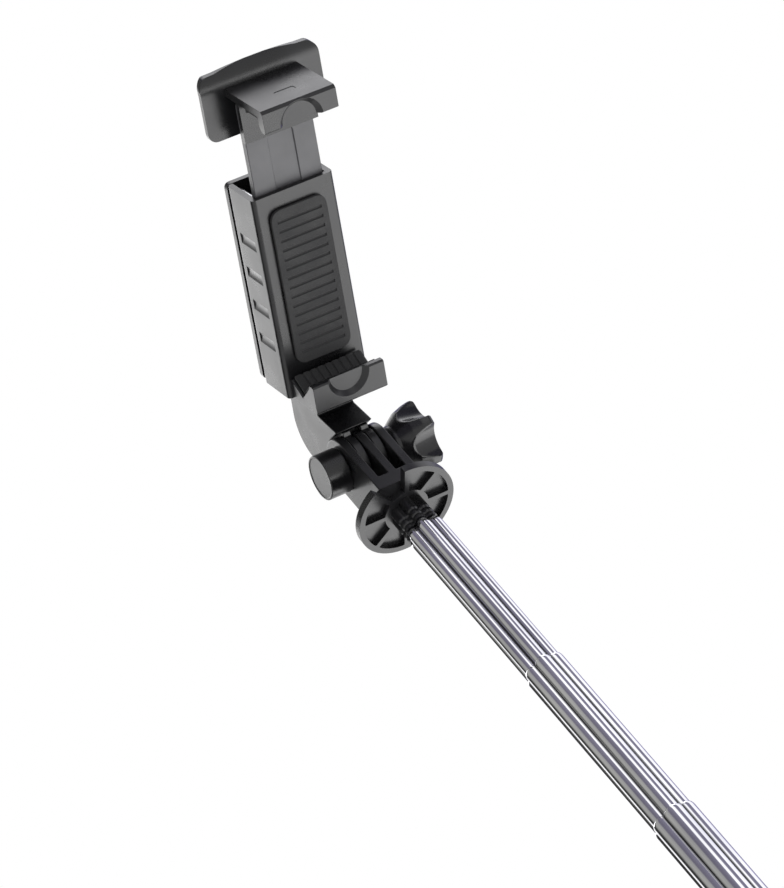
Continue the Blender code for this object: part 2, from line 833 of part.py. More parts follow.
def make_pads(base, jaw):
    pad_places = (3.1 * MM, GROOVE[1][0], 10.9 * MM)
    prism(
        "lower_pad",
        [
            [above_groove(y, 0.42 * MM) for y in pad_places]
            + [above_groove(y, 1.3 * MM) for y in reversed(pad_places)]
        ],
        -9.0 * MM,
        9.0 * MM,
        axis="X",
        finish=rubber,
        parent=base,
    )
    prism(
        "upper_pad",
        [
            [
                (LIP_BACK + GAP, UPPER_FLOOR - GAP),
                (10.4 * MM, UPPER_FLOOR - GAP),
                (10.4 * MM, UPPER_FLOOR - 1.9 * MM),
                (8.6 * MM, UPPER_FLOOR - 1.3 * MM),
                (LIP_BACK + 2.2 * MM, UPPER_FLOOR - 1.3 * MM),
                (LIP_BACK + GAP, UPPER_FLOOR - 1.9 * MM),
            ]
        ],
        -9.0 * MM,
        9.0 * MM,
        axis="X",
        finish=rubber,
        parent=jaw,
    )
    prism(
        "rear_pad",
        [rounded((-7.5 * MM, 25 * MM), (7.5 * MM, 66 * MM), 3 * MM)],
        -HOUSING_FRONT + GAP,
        -HOUSING_FRONT + 1.1 * MM,
        axis="Y",
        finish=rubber,
        parent=base,
    )


def slide_screw_places():
    return [(-5.2 * MM, 89.5 * MM), (5.2 * MM, 89.5 * MM)]


def make_upper_jaw(parent):
    bend_end = 50
    inner = PADDLE_CURVE
    outer = PADDLE_CURVE - HOUSING_WALL
    centre = (PADDLE_FRONT + PADDLE_CURVE, PADDLE_BEND)
    jaw = prism(
        "upper_jaw",
        [
            [(PADDLE_FRONT, PADDLE_LOW)]
            + arc(centre, inner, 180, 180 - bend_end, 10)
            + arc(centre, outer, 180 - bend_end, 180, 10)
            + [(PADDLE_FRONT + HOUSING_WALL, PADDLE_LOW)]
        ],
        -PADDLE_HALF,
        PADDLE_HALF,
        axis="X",
        finish=black_plastic,
        parent=parent,
    )
    top = PADDLE_BEND + inner * math.sin(math.radians(bend_end)) + 0.05 * MM
    outline = (
        arc((PADDLE_HALF - 2.5 * MM, PADDLE_LOW + 2.5 * MM), 2.5 * MM, -90, 0, 3)
        + arc((PADDLE_HALF - 3 * MM, top - 3.9 * MM), 3 * MM, 0, 75, 5)
        + [(5.5 * MM, top - 0.2 * MM), (0, top), (-5.5 * MM, top - 0.2 * MM)]
        + arc((-PADDLE_HALF + 3 * MM, top - 3.9 * MM), 3 * MM, 105, 180, 5)
        + arc((-PADDLE_HALF + 2.5 * MM, PADDLE_LOW + 2.5 * MM), 2.5 * MM, 180, 270, 3)
    )
    boolean(jaw, prism("paddle_outline", [outline], -40 * MM, 5 * MM, axis="Y", parent=parent), "INTERSECT")
    hook = prism(
        "upper_hook",
        [
            [
                (LIP_FRONT, UPPER_TOP - 0.7 * MM),
                (LIP_FRONT, UPPER_LIP_LOW),
                (LIP_BACK - 0.9 * MM, UPPER_LIP_LOW),
                (LIP_BACK, UPPER_LIP_LOW + 1.4 * MM),
                (LIP_BACK, UPPER_FLOOR),
                (PADDLE_FRONT + 0.6 * MM, UPPER_FLOOR),
                (PADDLE_FRONT + 0.6 * MM, UPPER_TOP),
                (LIP_FRONT + 0.7 * MM, UPPER_TOP),
            ]
        ],
        -JAW_HALF,
        JAW_HALF,
        axis="X",
        parent=parent,
    )
    cut(hook, scoop("upper_scoop", UPPER_LIP_LOW, parent))
    tongue = block(
        "slide_tongue",
        (-JAW_HALF, HOUSING_FRONT, PADDLE_LOW),
        (JAW_HALF, HOUSING_FRONT + HOUSING_WALL, UPPER_FLOOR + 0.8 * MM),
        parent=parent,
    )
    join(jaw, hook, tongue)
    for number, (x, z) in enumerate(slide_screw_places()):
        screw_hole = rod(
            f"tongue_hole_{number}",
            (x, HOUSING_FRONT + 0.45 * MM, z),
            (x, HOUSING_FRONT + 5 * MM, z),
            1.05 * MM,
            12,
            parent=parent,
        )
        driver_hole = rod(
            f"paddle_hole_{number}",
            (x, PADDLE_FRONT - 1 * MM, z),
            (x, PADDLE_FRONT + 3 * MM, z),
            1.9 * MM,
            16,
            parent=parent,
        )
        cut(jaw, screw_hole, driver_hole)


def make_slide_plate(parent):
    plate = prism(
        "slide_plate",
        [rounded((-9.1 * MM, 36 * MM), (9.1 * MM, 94 * MM), 1.2 * MM, 2)],
        -SLIDE_BACK,
        -SLIDE_FRONT,
        axis="Y",
        finish=grey_plastic,
        parent=parent,
    )
    tab = block(
        "spring_tab",
        (-5.6 * MM, SLIDE_BACK - 0.5 * MM, 53 * MM),
        (5.6 * MM, 22.6 * MM, 55 * MM),
        parent=parent,
    )
    join(plate, tab)
    for number, (x, z) in enumerate(slide_screw_places()):
        cut(
            plate,
            rod(f"plate_hole_{number}", (x, 10 * MM, z), (x, 20 * MM, z), 1.05 * MM, 12, parent=parent),
        )
    make_screws("slide_screw", slide_screw_places(), SLIDE_BACK + GAP, HOUSING_FRONT + 0.75 * MM, parent)


# ---------------------------------------------------------------- assembly

clear_scene()
parts = new_collection("selfie_stick")
cutters = new_collection("cutters")

black_plastic = material("black_plastic", (0.018, 0.018, 0.02), 0.42)
grey_plastic = material("grey_plastic", (0.08, 0.08, 0.085), 0.5)
button_plastic = material("button_plastic", (0.32, 0.33, 0.35), 0.35)
rubber = material("rubber", (0.02, 0.02, 0.021), 0.8)
steel = material("steel", (0.78, 0.79, 0.81), 0.16, 1.0)
board = material("board", (0.02, 0.14, 0.05), 0.5)
foil = material("foil", (0.55, 0.56, 0.58), 0.35, 0.8)

make_handle()
make_tube(SECTIONS + 1, None)
make_glide(SECTIONS + 1, None)

slide = None
for section in range(SECTIONS, 0, -1):
    slide = empty(f"slide_{section}", (0, 0, 0), parent=slide)
    make_tube(section, slide)
    make_glide(section, slide)

hinge = empty("hinge_axis", (0, 0, HINGE_HEIGHT), parent=slide)
make_fork(hinge)
make_pivot(hinge)
make_knob(empty("knob_turn", (0, 0, 0), parent=hinge))

clamp = empty("clamp_tilt", (0, 0, 0), TILT, hinge)
make_clamp_base(clamp)
make_back_cover(clamp)
make_springs(clamp)
jaw_slide = empty("jaw_slide", (0, 0, 0), parent=clamp)
make_upper_jaw(jaw_slide)
make_slide_plate(jaw_slide)
make_pads(clamp, jaw_slide)
bpy.context.view_layer.update()
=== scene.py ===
"""Looks for the selfie stick: sprung phone clamp, eared hinge, six-lobed sliding pole and remote handle.

Metres, +Z up the pole. Pieces of the hinge are made round the hinge axis. Pieces of the clamp are made in the
clamp's upright frame, where +Z runs from the lower hook to the upper hook and +Y points behind the phone.
"""

import json
import math

import bmesh
import bpy
from mathutils import Matrix, Vector


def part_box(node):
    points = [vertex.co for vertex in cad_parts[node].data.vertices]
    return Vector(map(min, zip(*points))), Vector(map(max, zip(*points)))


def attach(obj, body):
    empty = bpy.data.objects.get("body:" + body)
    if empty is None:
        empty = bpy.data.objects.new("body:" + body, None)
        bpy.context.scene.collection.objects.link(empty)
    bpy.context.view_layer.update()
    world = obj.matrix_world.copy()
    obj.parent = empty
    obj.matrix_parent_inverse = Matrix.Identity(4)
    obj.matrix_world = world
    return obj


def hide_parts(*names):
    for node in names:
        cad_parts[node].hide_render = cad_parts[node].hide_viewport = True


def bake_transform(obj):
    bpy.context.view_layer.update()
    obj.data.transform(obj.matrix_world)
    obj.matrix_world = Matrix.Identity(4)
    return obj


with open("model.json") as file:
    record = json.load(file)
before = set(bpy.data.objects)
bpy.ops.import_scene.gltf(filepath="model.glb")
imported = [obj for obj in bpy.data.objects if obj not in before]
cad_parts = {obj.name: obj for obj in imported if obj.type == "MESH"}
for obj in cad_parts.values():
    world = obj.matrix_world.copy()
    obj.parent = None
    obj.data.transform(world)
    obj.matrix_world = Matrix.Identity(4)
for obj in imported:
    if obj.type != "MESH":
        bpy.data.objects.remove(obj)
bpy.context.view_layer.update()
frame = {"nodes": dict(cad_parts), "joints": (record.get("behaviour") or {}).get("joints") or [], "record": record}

MM = 0.001
joints = {joint["name"]: joint for joint in frame["joints"]}
HINGE = Vector(joints["clamp_tilt"]["pos_m"])
JAW_WAY = Vector(joints["jaw_slide"]["axis"])
AT_WORLD = Matrix.Identity(4)
AT_HINGE = Matrix.Translation(HINGE)
AT_CLAMP = AT_HINGE @ Matrix.Rotation(math.atan2(-JAW_WAY.y, JAW_WAY.z), 4, "X")

# A shape made on (a, b) outlines and heights h is turned so that (a, b, h) lies along these axes.
ALONG_Z = Matrix.Identity(4)
ALONG_X = Matrix(((0, 0, 1, 0), (1, 0, 0, 0), (0, 1, 0, 0), (0, 0, 0, 1)))
ALONG_Y = Matrix(((1, 0, 0, 0), (0, 0, 1, 0), (0, 1, 0, 0), (0, 0, 0, 1)))

# Pole.
SECTIONS = 6
LOBES = 6
LOBE_CENTRE = 3.26 * MM
LOBE_RADIUS = 1.74 * MM
LOBE_TURN = math.radians(18)
LOBE_STEPS = 12
VALLEY = 0.22 * MM
VALLEY_STEPS = 4
TUBE_STEP = 0.45 * MM
TUBE_WALL = 0.25 * MM

# Head.
HANDLE_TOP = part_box("top_collar")[1].z
DISC_RADIUS = 13.1 * MM
DISC_TOP = -17.9 * MM
DISC_UNDER = -19.9 * MM
HUB_END = -27.2 * MM
EAR_RADIUS = 7.5 * MM
LUG_RADIUS = 7.2 * MM
SLOT_FLOOR = -13.0 * MM
EAR_WIDTH = 2.2 * MM
LUG_WIDTH = 2.1 * MM
GAP = 0.3 * MM
BOLT_HOLE = 2.2 * MM
LUG_X = (LUG_WIDTH + EAR_WIDTH) / 2 + GAP
FORK_HALF = LUG_WIDTH + 1.5 * EAR_WIDTH + 2 * GAP

# Clamp.
JAW_HALF = 9.8 * MM
PAD_HALF = 9.0 * MM
LIP_FRONT = -0.1 * MM
FLOOR_LOW = 16.6 * MM
LIP_HIGH = 23.9 * MM
UPPER_LIP_LOW = 91.1 * MM
UPPER_FLOOR = 94.9 * MM
UPPER_TOP = 96.8 * MM
HOUSING_HALF = 11.0 * MM
HOUSING_FRONT = 11.8 * MM
HOUSING_BACK = 24.4 * MM
HOUSING_TOP = 70.0 * MM
COVER_BACK = 26.2 * MM
SLIDE_SCREWS = [(-5.2 * MM, 89.5 * MM), (5.2 * MM, 89.5 * MM)]
PADDLE_FRONT = 18.2 * MM
PADDLE_HALF = 15.9 * MM
PADDLE_LOW = 84.6 * MM
PADDLE_BEND = 96.5 * MM
PADDLE_CURVE = 6.5 * MM
PADDLE_LEAN = 50
WALL = 1.3 * MM

# Handle.
END_RADIUS = 13.1 * MM
SHELL_RADIUS = 12.2 * MM
SHELL_BORE = 10.6 * MM
PLUG_RADIUS = 10.3 * MM
BUTTON_HEIGHT = 84 * MM
BUTTON_WAY_IN = -9 * MM
BUTTON_WAY_OUT = -20 * MM
PORT_HEIGHT = 26 * MM


# ---------------------------------------------------------------- shapes


def arc(centre, radius, start, end, steps):
    """Points on an arc, angles in degrees."""
    turns = [math.radians(start + (end - start) * i / steps) for i in range(steps + 1)]
    return [(centre[0] + radius * math.cos(t), centre[1] + radius * math.sin(t)) for t in turns]


def filleted(outline, radius, steps=4, closed=True):
    """The outline with its corners rounded."""
    points = [Vector(p) for p in outline]
    count = len(points)
    made = []
    for i, corner in enumerate(points):
        if not closed and i in (0, count - 1):
            made.append(tuple(corner))
            continue
        before = points[i - 1] - corner
        after = points[(i + 1) % count] - corner
        bend = math.pi - before.angle(after, math.pi)
        if bend < math.radians(12):
            made.append(tuple(corner))
            continue
        reach = min(radius * math.tan(bend / 2), before.length * 0.45, after.length * 0.45)
        start = corner + before.normalized() * reach
        end = corner + after.normalized() * reach
        for step in range(steps + 1):
            t = step / steps
            made.append(tuple(start * (1 - t) ** 2 + corner * 2 * t * (1 - t) + end * t * t))
    return made


def rectangle(x0, y0, x1, y1, radius, steps=5):
    return filleted([(x0, y0), (x1, y0), (x1, y1), (x0, y1)], radius, steps)


def loft(rings, closed=False):
    """Rings of as many points each, joined in turn; capped at both ends, or closed into a ring of rings."""
    bm = bmesh.new()
    made = [[bm.verts.new(p) for p in ring] for ring in rings]
    pairs = list(zip(made, made[1:] + made[:1])) if closed else list(zip(made, made[1:]))
    count = len(made[0])
    for low, high in pairs:
        for i in range(count):
            j = (i + 1) % count
            bm.faces.new((low[i], low[j], high[j], high[i]))
    if not closed:
        bm.faces.new(list(reversed(made[0])))
        bm.faces.new(made[-1])
    bmesh.ops.recalc_face_normals(bm, faces=bm.faces)
    return bm


def prism(outline, low, high, turn=ALONG_Z):
    bm = loft([[(a, b, h) for a, b in outline] for h in (low, high)])
    bm.transform(turn)
    bmesh.ops.recalc_face_normals(bm, faces=bm.faces)
    return bm


def box(x0, y0, z0, x1, y1, z1):
    return prism([(x0, y0), (x1, y0), (x1, y1), (x0, y1)], z0, z1)


def lathe(profile, steps=64, closed=False, turn=ALONG_Z):
    """A profile of (radius, height) points turned about the axis; its ends are on the axis, or it closes."""
    bm = bmesh.new()
    rings = []
    for radius, height in profile:
        if radius < 1e-7:
            rings.append([bm.verts.new((0, 0, height))])
            continue
        turns = [2 * math.pi * i / steps for i in range(steps)]
        rings.append([bm.verts.new((radius * math.cos(t), radius * math.sin(t), height)) for t in turns])
    pairs = list(zip(rings, rings[1:] + rings[:1])) if closed else list(zip(rings, rings[1:]))
    for a, b in pairs:
        for i in range(steps):
            j = (i + 1) % steps
            corners = [a[i % len(a)], a[j % len(a)], b[j % len(b)], b[i % len(b)]]
            bm.faces.new(list(dict.fromkeys(corners)))
    bm.transform(turn)
    bmesh.ops.recalc_face_normals(bm, faces=bm.faces)
    return bm


def rod(start, end, radius, steps=40, end_radius=None):
    """A round bar between two points, or a cone."""
    start, end = Vector(start), Vector(end)
    tip = radius if end_radius is None else end_radius
    bm = lathe([(0, 0), (radius, 0), (tip, (end - start).length), (0, (end - start).length)], steps)
    turn = Vector((0, 0, 1)).rotation_difference(end - start).to_matrix().to_4x4()
    bm.transform(Matrix.Translation(start) @ turn)
    return bm


def mesh_object(name, bm):
    mesh = bpy.data.meshes.new(name)
    bm.to_mesh(mesh)
    bm.free()
    made = bpy.data.objects.new(name, mesh)
    bpy.context.scene.collection.objects.link(made)
    return made


def piece(
    name,
    bm,
    finish,
    body,
    place=AT_WORLD,
    joins=(),
    meets=(),
    cuts=(),
    bevel=0.0,
    smooth=35,
    stands_for=(),
):
    """A visible piece: a shape joined, trimmed and cut by others, with its edges rounded, put on its body."""
    made = mesh_object(name, bm)
    helpers = []
    for operation, shapes in (("UNION", joins), ("INTERSECT", meets), ("DIFFERENCE", cuts)):
        for shape in shapes:
            helper = mesh_object(f"{name}_{operation.lower()}", shape)
            change = made.modifiers.new(operation, "BOOLEAN")
            change.operation = operation
            change.object = helper
            change.solver = "EXACT"
            helpers.append(helper)
    if bevel:
        edge = made.modifiers.new("Edge", "BEVEL")
        edge.width = bevel
        edge.segments = 3
        edge.limit_method = "ANGLE"
        edge.angle_limit = math.radians(30)
        edge.use_clamp_overlap = True
        edge.miter_outer = "MITER_ARC"
    evaluated = made.evaluated_get(bpy.context.evaluated_depsgraph_get())
    mesh = bpy.data.meshes.new_from_object(evaluated)
    made.modifiers.clear()
    made.data = mesh
    for helper in helpers:
        bpy.data.objects.remove(helper, do_unlink=True)
    mesh.transform(place)
    mesh.shade_smooth()
    mesh.set_sharp_from_angle(angle=math.radians(smooth))
    normals = made.modifiers.new("Normals", "WEIGHTED_NORMAL")
    normals.keep_sharp = True
    mesh.materials.clear()
    mesh.materials.append(finish)
    if body:
        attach(made, body)
    if stands_for:
        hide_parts(*stands_for)
    return made


# ---------------------------------------------------------------- materials


class Finish:
    """A Principled material whose colour, roughness and relief come from noises in the object's own space."""

    def __init__(self, name, metallic=0.0):
        self.material = bpy.data.materials.new(name)
        self.material.use_nodes = True
        self.nodes = self.material.node_tree.nodes
        self.links = self.material.node_tree.links
        self.shader = self.nodes["Principled BSDF"]
        self.shader.inputs["Metallic"].default_value = metallic
        self.place = self.nodes.new("ShaderNodeTexCoord").outputs["Object"]

    def stretched(self, scale):
        node = self.nodes.new("ShaderNodeMapping")
        node.inputs["Scale"].default_value = scale
        self.links.new(self.place, node.inputs["Vector"])
        return node.outputs["Vector"]

    def noise(self, size, detail=2.0, stretch=None):
        """Noise with blobs of about this size in metres."""
        node = self.nodes.new("ShaderNodeTexNoise")
        node.inputs["Scale"].default_value = 1 / size
        node.inputs["Detail"].default_value = detail
        self.links.new(self.stretched(stretch) if stretch else self.place, node.inputs["Vector"])
        return node.outputs["Fac"]

    def cells(self, size, feature="F1"):
        node = self.nodes.new("ShaderNodeTexVoronoi")
        node.feature = feature
        node.inputs["Scale"].default_value = 1 / size
        self.links.new(self.place, node.inputs["Vector"])
        return node.outputs["Distance"]

    def gullies(self):
        """One in the gullies between the pole's lobes, falling to minus one on the lobes."""
        split = self.nodes.new("ShaderNodeSeparateXYZ")
        self.links.new(self.place, split.inputs[0])
        turn = self.combined(split.outputs["Y"], split.outputs["X"], "ARCTAN2")
        wave = self.nodes.new("ShaderNodeMath")
        wave.operation = "MULTIPLY_ADD"
        wave.inputs[1].default_value = LOBES
        wave.inputs[2].default_value = math.pi - LOBES * LOBE_TURN
        self.links.new(turn, wave.inputs[0])
        level = self.nodes.new("ShaderNodeMath")
        level.operation = "COSINE"
        self.links.new(wave.outputs["Value"], level.inputs[0])
        return level.outputs["Value"]

    def spread(self, value, low, high, source=(0.35, 0.65)):
        node = self.nodes.new("ShaderNodeMapRange")
        node.inputs["From Min"].default_value = source[0]
        node.inputs["From Max"].default_value = source[1]
        node.inputs["To Min"].default_value = low
        node.inputs["To Max"].default_value = high
        self.links.new(value, node.inputs["Value"])
        return node.outputs["Result"]

    def combined(self, a, b, operation="ADD"):
        node = self.nodes.new("ShaderNodeMath")
        node.operation = operation
        self.links.new(a, node.inputs[0])
        self.links.new(b, node.inputs[1])
        return node.outputs["Value"]

    def colour(self, value, dark, light, source=(0.35, 0.65)):
        node = self.nodes.new("ShaderNodeValToRGB")
        node.color_ramp.elements[0].position = source[0]
        node.color_ramp.elements[0].color = (*dark, 1)
        node.color_ramp.elements[1].position = source[1]
        node.color_ramp.elements[1].color = (*light, 1)
        self.links.new(value, node.inputs["Fac"])
        self.links.new(node.outputs["Color"], self.shader.inputs["Base Color"])

    def darkened(self, share, colour):
        """The base colour so far, mixed towards a plain one."""
        socket = self.shader.inputs["Base Color"]
        node = self.nodes.new("ShaderNodeMix")
        node.data_type = "RGBA"
        mixed = [output for output in node.outputs if output.type == "RGBA"][0]
        sources = [entry for entry in node.inputs if entry.type == "RGBA"]
        sources[1].default_value = (*colour, 1)
        self.links.new(socket.links[0].from_socket, sources[0])
        self.links.new(share, node.inputs[0])
        self.links.new(mixed, socket)

    def roughness(self, value):
        self.links.new(value, self.shader.inputs["Roughness"])

    def relief(self, *layers):
        """Layers of (height, depth in metres), laid one over the other."""
        before = None
        for height, depth in layers:
            node = self.nodes.new("ShaderNodeBump")
            node.inputs["Strength"].default_value = 1.0
            node.inputs["Distance"].default_value = depth
            self.links.new(height, node.inputs["Height"])
            if before:
                self.links.new(before, node.inputs["Normal"])
            before = node.outputs["Normal"]
        self.links.new(before, self.shader.inputs["Normal"])


def moulded(name, dark, light, rough, grain=0.22 * MM, depth=0.006 * MM):
    """Spark-textured moulded plastic, a little polished and dulled in patches."""
    finish = Finish(name)
    fine = finish.noise(grain, 3.0)
    patches = finish.noise(9 * MM, 2.0)
    finish.colour(patches, dark, light)
    worn = finish.spread(patches, rough - 0.03, rough + 0.03)
    finish.roughness(finish.combined(worn, finish.spread(fine, -0.02, 0.02)))
    finish.relief((patches, 0.008 * MM), (fine, depth))
    return finish.material


def drawn_steel(name, dark, light, rough):
    """Bright tube, drawn and polished along Z, with faint die lines, haze and painted shade darkening the gullies
    between the lobes.
    """
    finish = Finish(name, 1.0)
    lines = finish.noise(0.18 * MM, 3.0, (1, 1, 0.006))
    haze = finish.noise(7 * MM, 5.0, (1, 1, 0.35))
    gully = finish.spread(finish.gullies(), 0.0, 1.0, (0.86, 0.985))
    # Painted shade: the colour in the gullies between the lobes is mixed to near-black, broken up by the die
    # lines; the gullies are also made rougher.
    painted_gully_shade = finish.combined(finish.spread(lines, 0.75, 1.0), gully, "MULTIPLY")
    finish.colour(haze, dark, light)
    finish.darkened(painted_gully_shade, (0.012, 0.012, 0.014))
    hazed = finish.spread(haze, rough, rough + 0.04)
    finish.roughness(finish.combined(hazed, finish.spread(gully, 0.0, 0.25, (0, 1))))
    finish.relief((lines, 0.0010 * MM))
    return finish.material


def plated(name, dark, light, rough):
    """Plated steel of screws, pins and nuts."""
    finish = Finish(name, 1.0)
    scratches = finish.noise(0.12 * MM, 2.0, (1, 0.1, 1))
    cloud = finish.noise(1.5 * MM, 4.0)
    finish.colour(cloud, dark, light)
    clouded = finish.spread(cloud, rough, rough + 0.12)
    finish.roughness(finish.combined(clouded, finish.spread(scratches, 0.0, 0.06)))
    finish.relief((scratches, 0.002 * MM))
    return finish.material


def rubbery(name, dark, light):
    """Soft rubber with a fine pebbled skin."""
    finish = Finish(name)
    pebbles = finish.cells(0.38 * MM)
    dust = finish.noise(6 * MM, 5.0)
    finish.colour(dust, dark, light)
    dusted = finish.spread(dust, 0.62, 0.78)
    finish.roughness(finish.combined(dusted, finish.spread(pebbles, 0.0, 0.1, (0.1, 0.6))))
    finish.relief((pebbles, 0.03 * MM))
    finish.shader.inputs["Sheen Weight"].default_value = 0.08
    return finish.material


def circuit_green(name):
    """Solder mask over a woven board."""
    finish = Finish(name)
    weave = finish.cells(0.9 * MM, "DISTANCE_TO_EDGE")
    finish.colour(weave, (0.03, 0.2, 0.07), (0.012, 0.1, 0.035), (0.02, 0.12))
    finish.roughness(finish.spread(weave, 0.3, 0.45, (0.0, 0.3)))
    finish.relief((weave, 0.02 * MM))
    return finish.material


def pouch_foil(name):
    """Creased silver foil of a pouch cell."""
    finish = Finish(name, 0.8)
    creases = finish.cells(3 * MM, "DISTANCE_TO_EDGE")
    finish.colour(finish.noise(4 * MM, 4.0), (0.45, 0.46, 0.48), (0.62, 0.63, 0.65))
    finish.roughness(finish.spread(creases, 0.25, 0.42, (0.0, 0.4)))
    finish.relief((creases, 0.08 * MM))
    return finish.material


black = moulded("black_satin_plastic", (0.004, 0.004, 0.0045), (0.008, 0.008, 0.009), 0.30)
handle_black = moulded("black_handle_plastic", (0.006, 0.006, 0.007), (0.011, 0.011, 0.012), 0.40, 0.3 * MM)
knob_black = moulded(
    "black_knob_plastic", (0.004, 0.004, 0.0045), (0.007, 0.007, 0.008), 0.22, 0.3 * MM, 0.002 * MM
)
grey = moulded("dark_grey_nylon", (0.050, 0.050, 0.054), (0.075, 0.075, 0.080), 0.42, 0.3 * MM)
button_grey = moulded(
    "grey_button_plastic", (0.25, 0.26, 0.28), (0.32, 0.33, 0.35), 0.30, 0.25 * MM, 0.003 * MM
)
steel = drawn_steel("drawn_pole_steel", (0.74, 0.74, 0.77), (0.90, 0.90, 0.92), 0.07)
screw_steel = plated("plated_fastener_steel", (0.42, 0.42, 0.43), (0.62, 0.62, 0.63), 0.24)
rubber = rubbery("soft_black_rubber", (0.008, 0.008, 0.0085), (0.016, 0.016, 0.017))
green = circuit_green("green_circuit_board")
foil = pouch_foil("battery_pouch_foil")

SLOT_FINISHES = {
    "black_plastic": black,
    "grey_plastic": grey,
    "button_plastic": button_grey,
    "soft_rubber": rubber,
    "pole_steel": steel,
    "fastener_steel": screw_steel,
    "circuit_board": green,
    "battery_foil": foil,
}
# The parts of the CAD that stay in sight or sealed inside take the same materials.
for subpart in frame["record"]["subparts"]:
    mesh = frame["nodes"][subpart["node"]].data
    mesh.materials.clear()
    mesh.materials.append(SLOT_FINISHES[subpart["material_slot"]])


# ---------------------------------------------------------------- pole


def lobed_ring(grow, height):
    """Six round lobes joined by small hollow fillets, all moved out by grow."""
    spread = math.pi / LOBES
    lobe = LOBE_RADIUS + grow
    hollow = max(VALLEY - min(grow, 0.0), 0.05 * MM)
    across = LOBE_CENTRE * math.sin(spread)
    hollow_centre = LOBE_CENTRE * math.cos(spread) + math.sqrt((lobe + hollow) ** 2 - across**2)
    reach = math.atan2(hollow_centre * math.sin(spread), hollow_centre * math.cos(spread) - LOBE_CENTRE)
    turned = reach - spread
    ring = []
    for number in range(LOBES):
        axis = LOBE_TURN + number * 2 * spread
        centre = Vector((math.cos(axis), math.sin(axis), 0)) * LOBE_CENTRE
        for step in range(LOBE_STEPS + 1):
            turn = axis - reach + 2 * reach * step / LOBE_STEPS
            ring.append(centre + Vector((math.cos(turn), math.sin(turn), 0)) * lobe)
        gully = axis + spread
        centre = Vector((math.cos(gully), math.sin(gully), 0)) * hollow_centre
        for step in range(1, VALLEY_STEPS):
            turn = gully + math.pi + turned * (1 - 2 * step / VALLEY_STEPS)
            ring.append(centre + Vector((math.cos(turn), math.sin(turn), 0)) * hollow)
    for point in ring:
        point.z = height
    return ring


def make_tube(section):
    """One lobed tube, open at its foot and rolled in at its upper end."""
    node = f"pole_tube_{section}"
    low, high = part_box(node)[0].z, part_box(node)[1].z
    outside = (section - 1) * TUBE_STEP
    # The thinnest tube is rolled in onto the neck, and the others to just clear of the tube inside.
    reach, depth = (1.0 * MM, 2.4 * MM) if section == 1 else (0.34 * MM, 1.2 * MM)
    profile = [(0.0, low - high)]
    for step in range(9):
        turn = math.radians(90 * step / 8)
        profile.append((-reach * (1 - math.cos(turn)), depth * (math.sin(turn) - 1)))
    profile += [(-reach - 0.05 * MM, -0.06 * MM), (-reach - 0.05 * MM, -0.3 * MM)]
    profile += [(-TUBE_WALL - 0.1 * MM, -0.5 * depth), (-TUBE_WALL, -depth), (-TUBE_WALL, low - high)]
    rings = [lobed_ring(outside + grow, high + drop) for grow, drop in profile]
    body = "handle" if section == SECTIONS else f"section_{section}"
    piece(
        f"steel_tube_{section}",
        loft(rings, True),
        steel,
        body,
        smooth=50,
        stands_for=[node],
    )


for section in range(1, SECTIONS + 1):
    make_tube(section)


# ---------------------------------------------------------------- hinge head


def sector(middle, half, inner, outer, rib=0.6 * MM):
    """A pocket between two ribs and two radii."""
    inner_half = half - math.degrees(math.asin(rib / inner))
    outer_half = half - math.degrees(math.asin(rib / outer))
    corners = arc((0, 0), outer, middle - outer_half, middle + outer_half, 8)
    corners += arc((0, 0), inner, middle + inner_half, middle - inner_half, 4)
    return filleted(corners, 0.35 * MM, 3)


def make_disc():
    """Round flange with eight pockets between its ribs; one pocket opens through the rim."""
    pockets = []
    for number in range(8):
        middle = -67.5 + 45 * number
        opened = number == 7
        outline = sector(middle, 22.5, 6.0 * MM, (15.0 if opened else 11.6) * MM)
        top = DISC_TOP + 1 * MM if opened else DISC_UNDER + 1.35 * MM
        pockets.append(prism(outline, DISC_UNDER - 1 * MM, top))
    disc = lathe([(0, DISC_UNDER), (DISC_RADIUS, DISC_UNDER), (DISC_RADIUS, DISC_TOP), (0, DISC_TOP)], 96)
    piece(
        "ribbed_disc",
        disc,
        black,
        "section_1",
        AT_HINGE,
        cuts=pockets,
        bevel=0.16 * MM,
        stands_for=["fork_head"],
    )


def bolt_hole():
    return rod((-12 * MM, 0, 0), (12 * MM, 0, 0), BOLT_HOLE)


def make_ears():
    """Three hinge ears in one block, on a foot that flares onto the disc."""
    slots = []
    for side in (-1, 1):
        half = LUG_WIDTH / 2 + GAP
        slots.append(box(side * LUG_X - half, -12 * MM, SLOT_FLOOR, side * LUG_X + half, 12 * MM, 12 * MM))
    outline = [(EAR_RADIUS, DISC_TOP)] + arc((0, 0), EAR_RADIUS, 0, 180, 48) + [(-EAR_RADIUS, DISC_TOP)]
    block = prism(outline, -FORK_HALF, FORK_HALF, ALONG_X)
    piece("hinge_ears", block, black, "section_1", AT_HINGE, cuts=slots + [bolt_hole()], bevel=0.28 * MM)
    rings = []
    for rise, half_x, half_y, corner in ((-0.1, 7.6, 8.7, 1.6), (0.3, 7.0, 8.1, 1.2), (0.9, 6.5, 7.6, 0.8)):
        outline = rectangle(-half_x * MM, -half_y * MM, half_x * MM, half_y * MM, corner * MM)
        rings.append([(x, y, DISC_TOP + rise * MM) for x, y in outline])
    piece("ears_foot", loft(rings), black, "section_1", AT_HINGE, smooth=50)


def make_hub():
    """Lobed neck between the disc and the top tube, with two shallow rings."""
    steps = 44
    rings = []
    for i in range(steps + 1):
        height = DISC_UNDER + 1.0 * MM + (HUB_END + 0.05 * MM - DISC_UNDER - 1.0 * MM) * i / steps
        ringed = min(abs(height - (HUB_END + 1.3 * MM)), abs(height - (HUB_END + 3.1 * MM)))
        groove = 0.28 * MM * max(0.0, 1 - ringed / (0.45 * MM))
        rings.append(lobed_ring(-0.22 * MM - groove, height))
    piece("pole_neck", loft(rings), black, "section_1", AT_HINGE, smooth=40)


